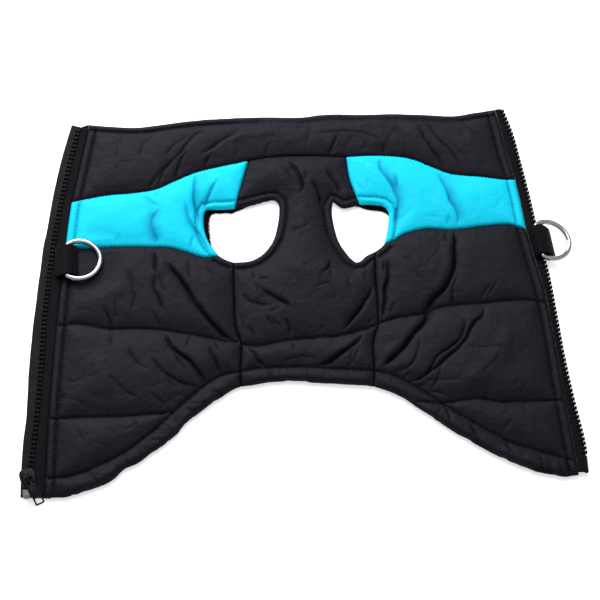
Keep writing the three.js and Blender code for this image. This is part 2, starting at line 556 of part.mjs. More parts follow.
function toManifold(geometry) {
  const source = geometry.index ? geometry.toNonIndexed() : geometry;
  const keys = new Map();
  const vertices = [];
  const triangles = [];
  const position = source.getAttribute('position');
  for (let i = 0; i < position.count; i += 1) {
    const xyz = [position.getX(i), position.getY(i), position.getZ(i)];
    const key = xyz.map((value) => value.toFixed(3)).join(' ');
    if (!keys.has(key)) {
      keys.set(key, keys.size);
      vertices.push(...xyz);
    }
    triangles.push(keys.get(key));
  }
  return new wasm.Manifold(new wasm.Mesh({
    numProp: 3, vertProperties: new Float32Array(vertices), triVerts: new Uint32Array(triangles),
  }));
}

function fromManifold(solid) {
  const { vertProperties, triVerts } = solid.getMesh();
  const geometry = new THREE.BufferGeometry();
  geometry.setAttribute('position', new THREE.BufferAttribute(new Float32Array(vertProperties), 3));
  geometry.setIndex([...triVerts]);
  return geometry;
}

function sliderGeometry() {
  const half = SLIDER.length / 2;
  const front = SLIDER.frontWidth / 2;
  const rear = SLIDER.rearWidth / 2;
  const outline = spaced([
    [0, half], [front * 0.75, half * 0.93], [front, half * 0.45], [front * 0.86, -half * 0.2],
    [rear, -half * 0.85],
    [rear * 0.6, -half], [-rear * 0.6, -half], [-rear, -half * 0.85], [-front * 0.86, -half * 0.2],
    [-front, half * 0.45],
    [-front * 0.75, half * 0.93]], 2.2, true);
  const height = SLIDER.plate + SLIDER.channel + SLIDER.topPlate;
  const body = toManifold(plate(counterclockwise(outline), [], SLIDER.bottom, height));
  const channelBottom = SLIDER.bottom + SLIDER.plate;
  const wedge = [[0, half * 0.3], [1.3, half * 0.62], [0.9, half + 2], [-0.9, half + 2],
  [-1.3, half * 0.62]];
  const innerFront = front - SLIDER.rim;
  const innerRear = rear - SLIDER.rim;
  const chain = [
    [innerRear, -half - 1], [innerRear, -half * 0.6], [innerFront * 0.9, 0], [innerFront, half * 0.5],
    [innerFront, half + 1],
    [-innerFront, half + 1], [-innerFront, half * 0.5], [-innerFront * 0.9, 0],
    [-innerRear, -half * 0.6], [-innerRear, -half - 1]];
  const slotBottom = channelBottom + (SLIDER.channel - SLIDER.slot) / 2;
  const wide = SLIDER.frontWidth;
  const channel = toManifold(plate(counterclockwise(chain), [], channelBottom, SLIDER.channel));
  const across = rectangle(-wide, wide, -half - 1, half + 1);
  const slot = toManifold(plate(across, [], slotBottom, SLIDER.slot));
  const post = toManifold(plate(wedge, [], channelBottom - 0.1, SLIDER.channel + 0.2));
  const hollow = channel.add(slot).subtract(post);
  const archLong = BRIDGE.inner / 2;
  const archTop = BRIDGE.height;
  const arch = toShape([
    [-archLong - BRIDGE.wall, -0.1], [-archLong - BRIDGE.wall, archTop * 0.6],
    [-archLong + 0.4, archTop + BRIDGE.wall],
    [archLong - 0.4, archTop + BRIDGE.wall], [archLong + BRIDGE.wall, archTop * 0.6],
    [archLong + BRIDGE.wall, -0.1],
    [archLong, -0.1], [archLong, archTop * 0.5], [archLong - 0.9, archTop], [-archLong + 0.9, archTop],
    [-archLong, archTop * 0.5], [-archLong, -0.1]]);
  const bridge = new THREE.ExtrudeGeometry(arch, { depth: BRIDGE.width, bevelEnabled: false });
  bridge.translate(0, 0, -BRIDGE.width / 2).rotateX(Math.PI / 2).rotateZ(Math.PI / 2);
  bridge.translate(0, 0, SLIDER.bottom + height);
  return fromManifold(body.subtract(hollow).add(toManifold(bridge)));
}

const slider = addMesh('slider', sliderGeometry(), 'plastic');
slider.position.set(SLIDER.x, SLIDER.y, 0);
slider.rotation.z = SLIDER.turn;

// Pull tab: a flat frame whose end bar lies under the bridge; it rests on the rear edge of the slider

const pullHalf = PULL.width / 2;
const pullLoop = chamfered(-pullHalf, pullHalf, -PULL.length, PULL.back, 0.7);
const eye = rectangle(-PULL.eyeWidth / 2, PULL.eyeWidth / 2, -PULL.eyeTo, -PULL.eyeFrom);
const windowHalf = PULL.windowWidth / 2;
const windowHole = rectangle(-windowHalf, windowHalf, -PULL.windowTo, -PULL.windowFrom);
const pullGeometry = plate(pullLoop, [eye, windowHole], -PULL.thickness / 2, PULL.thickness);
const pull = addMesh('pull', pullGeometry, 'plastic');
const sliderTop = SLIDER.bottom + SLIDER.plate + SLIDER.channel + SLIDER.topPlate;
pull.position.set(SLIDER.x, SLIDER.y, sliderTop + BRIDGE.hinge);
pull.rotation.set(PULL.drop, 0, PULL.turn, 'ZYX');

// Webbing loops, folded flat, and the rings that hang in them

function strapGeometry(section, inside) {
  const shape = toShape(section);
  shape.holes = [new THREE.Path(inside.map(([u, z]) => new THREE.Vector2(u, z)))];
  const geometry = new THREE.ExtrudeGeometry(shape, { depth: WEBBING_WIDTH, bevelEnabled: false });
  return geometry.translate(0, 0, -WEBBING_WIDTH / 2).rotateX(Math.PI / 2);
}

function ringGeometry() {
  const { bar, corner, bend, centre, deep, half } = RING;
  const path = [];
  const arc = (u, v, radius, from, to, steps) => {
    for (let i = 0; i <= steps; i += 1) {
      const angle = from + ((to - from) * i) / steps;
      path.push([u + radius * Math.cos(angle), v + radius * Math.sin(angle)]);
    }
  };
  arc(corner, -bar, corner, Math.PI, Math.PI + bend, 3);
  const open = Math.acos((corner * (1 - Math.cos(bend)) - centre) / deep);
  for (let i = 1; i < RING.arcSteps; i += 1) {
    const angle = open * ((2 * i) / RING.arcSteps - 1);
    path.push([centre + deep * Math.cos(angle), half * Math.sin(angle)]);
  }
  arc(corner, bar, corner, Math.PI - bend, Math.PI, 3);
  const vertices = [];
  const triangles = [];
  const outward = movedLeft(path, -1, true).map(([u, v], i) => {
    const length = Math.hypot(u - path[i][0], v - path[i][1]);
    return [(u - path[i][0]) / length, (v - path[i][1]) / length];
  });
  path.forEach(([u, v], i) => {
    for (let k = 0; k < RING.sides; k += 1) {
      const angle = (2 * Math.PI * k) / RING.sides;
      const reach = (RING.wire / 2) * Math.cos(angle);
      const height = (RING.wire / 2) * Math.sin(angle);
      vertices.push([u + reach * outward[i][0], v + reach * outward[i][1], height]);
      const next = ((i + 1) % path.length) * RING.sides;
      const turn = (k + 1) % RING.sides;
      const here = i * RING.sides;
      triangles.push([here + k, next + k, next + turn], [here + k, next + turn, here + turn]);
    }
  });
  return geometryOf(vertices, triangles);
}

function webbingAndRing(side, loop, section, inside) {
  const holder = new THREE.Group();
  holder.position.set(loop.x, loop.y, 0);
  holder.rotation.z = loop.turn;
  garment.add(holder);
  addMesh(`webbing_${side}`, strapGeometry(section, inside), 'webbing', holder);
  const ring = addMesh(`ring_${side}`, ringGeometry(), 'steel', holder);
  ring.position.set(loop.barU, 0, loop.barZ);
  ring.rotation.y = loop.tilt;
}

webbingAndRing('left', LOOP_LEFT, STRAP_LEFT, STRAP_LEFT_INSIDE);
webbingAndRing('right', LOOP_RIGHT, STRAP_RIGHT, STRAP_RIGHT_INSIDE);

// The origin is the middle of the underside of the box around the vest
garment.updateMatrixWorld(true);
const extent = new THREE.Box3().setFromObject(garment);
const middle = extent.getCenter(new THREE.Vector3());
garment.position.set(-middle.x, -middle.y, -extent.min.z);

export default garment;
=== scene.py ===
"""Looks of a padded winter vest for a small dog, unzipped and laid open flat, outer side up."""

import math

import bpy
import numpy as np
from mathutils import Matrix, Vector
from mathutils.geometry import delaunay_2d_cdt


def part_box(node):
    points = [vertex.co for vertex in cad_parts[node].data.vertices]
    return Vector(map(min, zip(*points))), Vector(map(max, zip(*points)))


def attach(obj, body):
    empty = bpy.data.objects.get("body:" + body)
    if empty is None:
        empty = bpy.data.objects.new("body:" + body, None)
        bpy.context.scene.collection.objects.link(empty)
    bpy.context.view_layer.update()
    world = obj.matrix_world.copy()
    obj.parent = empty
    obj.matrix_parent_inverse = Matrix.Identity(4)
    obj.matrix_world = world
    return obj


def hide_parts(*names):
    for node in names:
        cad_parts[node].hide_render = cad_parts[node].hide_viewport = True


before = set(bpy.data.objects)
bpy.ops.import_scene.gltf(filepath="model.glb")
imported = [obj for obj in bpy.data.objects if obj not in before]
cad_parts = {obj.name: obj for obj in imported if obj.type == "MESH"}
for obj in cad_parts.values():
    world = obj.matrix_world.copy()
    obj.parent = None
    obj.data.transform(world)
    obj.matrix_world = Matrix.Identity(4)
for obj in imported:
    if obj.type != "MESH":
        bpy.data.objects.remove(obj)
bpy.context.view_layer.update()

# Sizes are in millimetres in the vest's own plan, as its cutter would measure it
MM = 0.001
GAP = 0.3
LINING_THICKNESS = 2.0
PANEL_BOTTOM = 2.3
FREE_EDGE_TOP = 3.9
STITCH_TOP = 4.9
TAPE_BOTTOM = 3.4
TAPE_TOP = 4.4
TEETH_BOTTOM = 2.6
TEETH_TOP = 5.2
PUFF_REACH = 11.0
EDGE_REACH = 1.6
LINING_IN = 2.0
LINING_LEFT_IN = 4.0
TOOTH_PITCH = 3.18

# Spacing of the points that each surface is worked out from
FINE = 0.75
COARSE = 4.0

BOX = {"x": -181.5, "y": -125.4, "width": 4.6, "length": 5.6, "bottom": 2.2, "top": 5.8}
PIN = {"x": 177.0, "top": -115.4, "bottom": -126.8, "width": 2.4}
SLIDER = {
    "x": -180.5, "y": -115.5, "turn": 0.21, "length": 13.0, "front": 5.2, "rear": 3.8,
    "bottom": 1.5, "plate": 0.8, "channel": 3.2, "top_plate": 1.1,
}
PULL = {
    "turn": 0.43, "drop": 0.12, "half": 3.1, "thickness": 1.4, "back": 0.7, "length": 19.8,
    "eye": (0.7, 5.5, 2.1), "window": (15.2, 18.8, 2.0), "hinge": 1.6,
}
RING = {
    "wire": 1.5, "bar": 10.9, "corner": 1.8, "bend": math.pi / 3, "centre": 7.33, "deep": 14.2,
    "half": 14.0, "swell": 0.3, "swell_over": 3.0,
}
WEBBING_WIDTH = 21.8
LOOPS = {
    "left": {"x": -157.9, "y": 39.6, "turn": 0.0, "bar": (3.0, 9.8), "tilt": 0.06},
    "right": {"x": 156.6, "y": 40.4, "turn": 0.118, "bar": (4.9, 8.3), "tilt": 0.285},
}

# Where the left ring and its loop press the cloth down: x, y, radius, height left
RESTS = [(-143.0, 39.6, 19.0, 6.6), (-153.0, 39.6, 13.5, 6.4)]
REST_FADE = 12.0

# The vest's plan lies in the frame where the retaining box says
box_low, box_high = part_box("retaining_box")
SHIFT = np.array([
    (box_low.x + box_high.x) / 2 / MM - BOX["x"],
    (box_low.y + box_high.y) / 2 / MM - BOX["y"],
])

# Places where seams and edges meet: x, y
AT = {
    "neckLeft": (-140.3, 147.8), "neckRight": (140.5, 147.3),
    "bandLeft": (-152.5, 87), "bandRight": (149.8, 91),
    "bandChestLeft": (-31.5, 114), "bandChestRight": (35.5, 114),
    "yokeLeft": (-156.5, 53.5), "yokeRight": (153.8, 52.5),
    "holeTopLeft": (-42, 77.5), "holeTopRight": (42.5, 77),
    "holeLowLeft": (-54, 41.4), "holeLowRight": (57.6, 45),
    "holeSeamLeft": (-44.5, 35.8), "holeSeamRight": (51, 39.6),
    "hemSeamLeft": (-42.5, -55.4), "hemSeamRight": (44.5, -59.2),
    "cornerLeft": (-170, -127.5), "cornerRight": (171.5, -127.6),
}

# Seams and edges: from one meeting place to another, through the x, y of each row
LINES = {
    "neck": ("neckLeft", "neckRight", [
        (-124, 145.6), (-108, 144.2), (-92, 145.5), (-72, 147.7), (-48, 148.7), (-20, 148.6),
        (6, 147.3), (26, 148.8), (46, 147.6), (68, 147.1), (90, 145.6), (112, 143.6), (127, 145.4)]),
    "zipLeftBand": ("neckLeft", "bandLeft", [(-143.5, 132), (-147.8, 110)]),
    "zipLeftYoke": ("bandLeft", "yokeLeft", [(-154.7, 70)]),
    "zipLeftSide": ("yokeLeft", "cornerLeft", [
        (-159.4, 28), (-163.4, -14), (-166.2, -50), (-168.6, -90)]),
    "zipRightBand": ("neckRight", "bandRight", [(143.3, 131), (145.7, 113)]),
    "zipRightYoke": ("bandRight", "yokeRight", [(152, 73)]),
    "zipRightSide": ("yokeRight", "cornerRight", [
        (157.6, 30), (162, 4), (165.2, -32), (168, -78), (170.6, -110)]),
    "bandLeft": ("bandLeft", "bandChestLeft", [
        (-128.5, 91), (-110.5, 92), (-94.5, 94.4), (-84.5, 99), (-68.5, 106), (-51.5, 110)]),
    "bandMiddle": ("bandChestLeft", "bandChestRight", [(-16, 116), (5, 116.2)]),
    "bandRight": ("bandChestRight", "bandRight", [
        (57.5, 114), (79.5, 110.5), (94.5, 103), (106, 97.5), (127.5, 94), (142.5, 91.2)]),
    "yokeChestLeft": ("bandChestLeft", "holeTopLeft", [(-36.5, 97)]),
    "yokeChestRight": ("bandChestRight", "holeTopRight", [(37, 97)]),
    "yokeLowLeft": ("yokeLeft", "holeLowLeft", [
        (-147, 51), (-123.5, 51), (-99.5, 50), (-87.5, 49), (-75.5, 45), (-64.5, 40.5)]),
    "yokeLowRight": ("holeLowRight", "yokeRight", [
        (64.5, 48), (72, 52.3), (86, 55.6), (104.5, 54), (126.5, 56), (143, 56.3)]),
    "holeYokeLeft": ("holeTopLeft", "holeLowLeft", [
        (-50, 77.3), (-57, 77.4), (-61.4, 77.2), (-63.3, 73.5), (-63.6, 63), (-60.9, 52.5)]),
    "holeYokeRight": ("holeTopRight", "holeLowRight", [
        (52, 76.3), (59, 74.6), (62.2, 70), (61.4, 60), (59.7, 51.6)]),
    "holeChestLeft": ("holeTopLeft", "holeSeamLeft", [
        (-31.5, 79.6), (-21.5, 82.2), (-15, 82.8), (-11.8, 79), (-11.8, 72), (-13.6, 61.5),
        (-16.2, 52.4), (-19.9, 46), (-25.6, 40), (-33.4, 36.2)]),
    "holeChestRight": ("holeTopRight", "holeSeamRight", [
        (35.5, 74.9), (31, 74.6), (27.6, 77.2), (24.9, 79.6), (23.5, 74.5), (23.4, 68), (24.5, 59),
        (26.7, 49), (30.6, 41), (35.6, 34), (39, 31.8), (45.3, 36.8)]),
    "holeSideLeft": ("holeSeamLeft", "holeLowLeft", [(-49.8, 38.3)]),
    "holeSideRight": ("holeSeamRight", "holeLowRight", [(54.6, 42)]),
    "sideLeft": ("holeSeamLeft", "hemSeamLeft", [
        (-44.6, 5), (-44.2, -14), (-41.2, -25), (-42.3, -42)]),
    "sideRight": ("holeSeamRight", "hemSeamRight", [
        (50.4, 22), (50.5, -4), (49.6, -16), (45.8, -28), (45.4, -46)]),
    "hemLeft": ("hemSeamLeft", "cornerLeft", [
        (-49.5, -58.4), (-62.5, -67.2), (-75.5, -77.2), (-87.5, -89.6), (-98.5, -98.2),
        (-109.5, -105.8), (-120.5, -111.2), (-126, -117), (-137, -122.4), (-149, -126.2),
        (-160, -128.2)]),
    "hemMiddle": ("hemSeamLeft", "hemSeamRight", [
        (-33, -54.6), (-15, -52.8), (5, -54.6), (25, -57.4)]),
    "hemRight": ("hemSeamRight", "cornerRight", [
        (60.5, -66.4), (72.5, -76.8), (85.5, -86.7), (96.5, -95.4), (110.5, -104.8),
        (123.5, -113.7), (138.5, -121.2), (152, -125.8), (163, -128.8)]),
}

# Rows of stitches inside a panel: x, y along each row
QUILTING = {
    "sideLeftUpper": [
        (-163.5, -7), (-148, -6), (-128, -10.5), (-110, -11), (-92, -13), (-74, -17), (-43.5, -24.5)],
    "sideLeftLower": [(-166.5, -74), (-150, -73.6), (-122, -74.2), (-106, -73.6), (-87.5, -73)],
    "chest": [(-42, -25), (-32, -27.5), (-12, -24.4), (8, -23), (24, -22.4), (36, -19.4), (48, -16)],
    "sideRightUpper": [
        (48.5, -15), (62, -11), (79, -8.6), (90, -4.6), (118, -2.6), (150, -1.6), (162, -4)],
    "sideRightLower": [(72.5, -72.5), (88, -74), (112, -72), (124, -74.6), (160, -75.6), (168, -76)],
    "hemLeft": [
        (-42.5, -45.6), (-54, -47.6), (-65, -54), (-76, -63), (-88, -74), (-101, -86),
        (-113, -95.6), (-125, -103), (-140, -110), (-154, -114.6), (-169, -115.6)],
    "hemMiddle": [(-42.5, -45.6), (-30, -43.8), (-6.5, -43.8), (18, -46), (45.4, -49)],
    "hemRight": [
        (45.4, -49), (58.5, -53), (73.5, -63.4), (87, -74), (106, -88), (127.5, -102.4),
        (148, -111), (170.8, -118.6)],
}

# Lining openings for the front legs, x, y around each
LINING_HOLES = [
    [(-59.8, 71), (-57.5, 75), (-51, 76), (-44, 75.6), (-37.5, 78.4), (-29.5, 81.2), (-21, 83.5),
     (-14, 84.3), (-10, 79.5), (-9.8, 70), (-11.6, 61), (-14.2, 51), (-18, 44.4), (-24, 38),
     (-32.6, 34.4), (-44.5, 36.4), (-53, 38.2), (-57, 44.6), (-59.4, 54)],
    [(22.6, 82), (28, 80), (34, 77.6), (41, 76.9), (47, 74.5), (54, 73.2), (60.4, 70.6),
     (63.4, 66), (63, 59), (61.2, 50), (59.2, 43.4), (51.2, 40.2), (45.6, 35.6), (39, 30),
     (34.4, 32.6), (29.2, 40), (25.2, 48.6), (23, 59), (21.8, 69)],
]

# Middle of each row of zip teeth, the foot of each tape, and the outer edge of the guard flap
TEETH = {
    "left": [
        (-147.8, 144.8), (-157.5, 99), (-166, 46), (-170.5, 0), (-173.2, -45), (-176.4, -83),
        (-179, -107)],
    "right": [
        (144.9, 147.3), (150.2, 126), (153.7, 102), (156.8, 80), (160.2, 50), (165, 15),
        (167.3, -15), (169.4, -45), (172.8, -77), (176.3, -103), (177, -114.8)],
}
TAPE_FOOT = {"left": (-180, -127.5), "right": (177.2, -126.3)}
GUARD_EDGE = [
    (-153, 150), (-160.6, 117), (-167, 84), (-171.7, 54), (-176.5, 14), (-180.3, -22),
    (-181.9, -60), (-185, -98), (-185.7, -126)]

# Section of each webbing loop, outside and inside: distance along the strap, height
STRAPS = {
    "left": (
        [(-0.5, 4.7), (-0.5, 6.7), (-3.3, 6.7), (-3.45, 6.85), (-3.3, 7), (2, 7), (9, 7),
         (9.6, 7.7), (9.3, 8.7), (7.3, 10.3), (5.1, 12), (3, 12.6), (0.9, 11.7), (-1.2, 9.7),
         (-3.4, 9), (-4.9, 8.4), (-5.55, 6.85), (-4.9, 5.3), (-3.4, 4.7)],
        [(0.2, 8.2), (3, 8), (7.6, 8), (8.4, 8.2), (7, 9.2), (5.2, 10.8), (4.1, 11.45), (3, 11.6),
         (1.7, 11.1), (0.5, 9.5)]),
    "right": (
        [(0.5, 4.8), (3, 5.5), (7.8, 5.5), (9.8, 4.2), (11.8, 1.9), (13.2, 0.8), (14.2, 0.9),
         (14.5, 1.9), (13.4, 4), (11.3, 7.4), (8.9, 9.8), (6.6, 10.9), (4.9, 11.2), (3.1, 10.7),
         (1.5, 8.7), (0.5, 7)],
        [(2.4, 6.8), (4.9, 6.5), (8, 6.5), (10.4, 5.1), (12.2, 3), (12.9, 2.3), (12.5, 3.6),
         (10.4, 6.7), (8.2, 8.9), (6.4, 9.9), (4.9, 10.15), (3.5, 9.6), (2.5, 8.3)]),
}

# Panels: the lines around each, its turned edges with the distance of their topstitching, its
# rows of stitches, how far its padding rises, and its material slot
PANELS = {
    "neck_band": {
        "around": ["neck", "zipRightBand", "-bandRight", "-bandMiddle", "-bandLeft", "-zipLeftBand"],
        "turned": {"neck": 4.6, "zipLeftBand": 5.6, "zipRightBand": 5.6},
        "rows": [], "hem": None, "rise": 4.6, "slot": "black_nylon"},
    "yoke_left": {
        "around": ["bandLeft", "yokeChestLeft", "holeYokeLeft", "-yokeLowLeft", "-zipLeftYoke"],
        "turned": {"zipLeftYoke": 5.6, "holeYokeLeft": 5.0},
        "rows": [], "hem": None, "rise": 4.6, "slot": "cyan_nylon"},
    "yoke_right": {
        "around": ["bandRight", "zipRightYoke", "-yokeLowRight", "-holeYokeRight", "-yokeChestRight"],
        "turned": {"zipRightYoke": 5.6, "holeYokeRight": 5.0},
        "rows": [], "hem": None, "rise": 4.6, "slot": "cyan_nylon"},
    "chest": {
        "around": ["bandMiddle", "yokeChestRight", "holeChestRight", "sideRight", "-hemMiddle",
                   "-sideLeft", "-holeChestLeft", "-yokeChestLeft"],
        "turned": {"holeChestLeft": 5.0, "holeChestRight": 5.0},
        "rows": ["chest", "hemMiddle"], "hem": "hemMiddle", "rise": 5.6, "slot": "black_nylon"},
    "side_left": {
        "around": ["yokeLowLeft", "-holeSideLeft", "sideLeft", "hemLeft", "-zipLeftSide"],
        "turned": {"zipLeftSide": 5.6, "holeSideLeft": 5.0},
        "rows": ["sideLeftUpper", "sideLeftLower", "hemLeft"], "hem": "hemLeft", "rise": 5.6,
        "slot": "black_nylon"},
    "side_right": {
        "around": ["yokeLowRight", "zipRightSide", "-hemRight", "-sideRight", "holeSideRight"],
        "turned": {"zipRightSide": 5.6, "holeSideRight": 5.0},
        "rows": ["sideRightUpper", "sideRightLower", "hemRight"], "hem": "hemRight", "rise": 5.6,
        "slot": "black_nylon"},
}

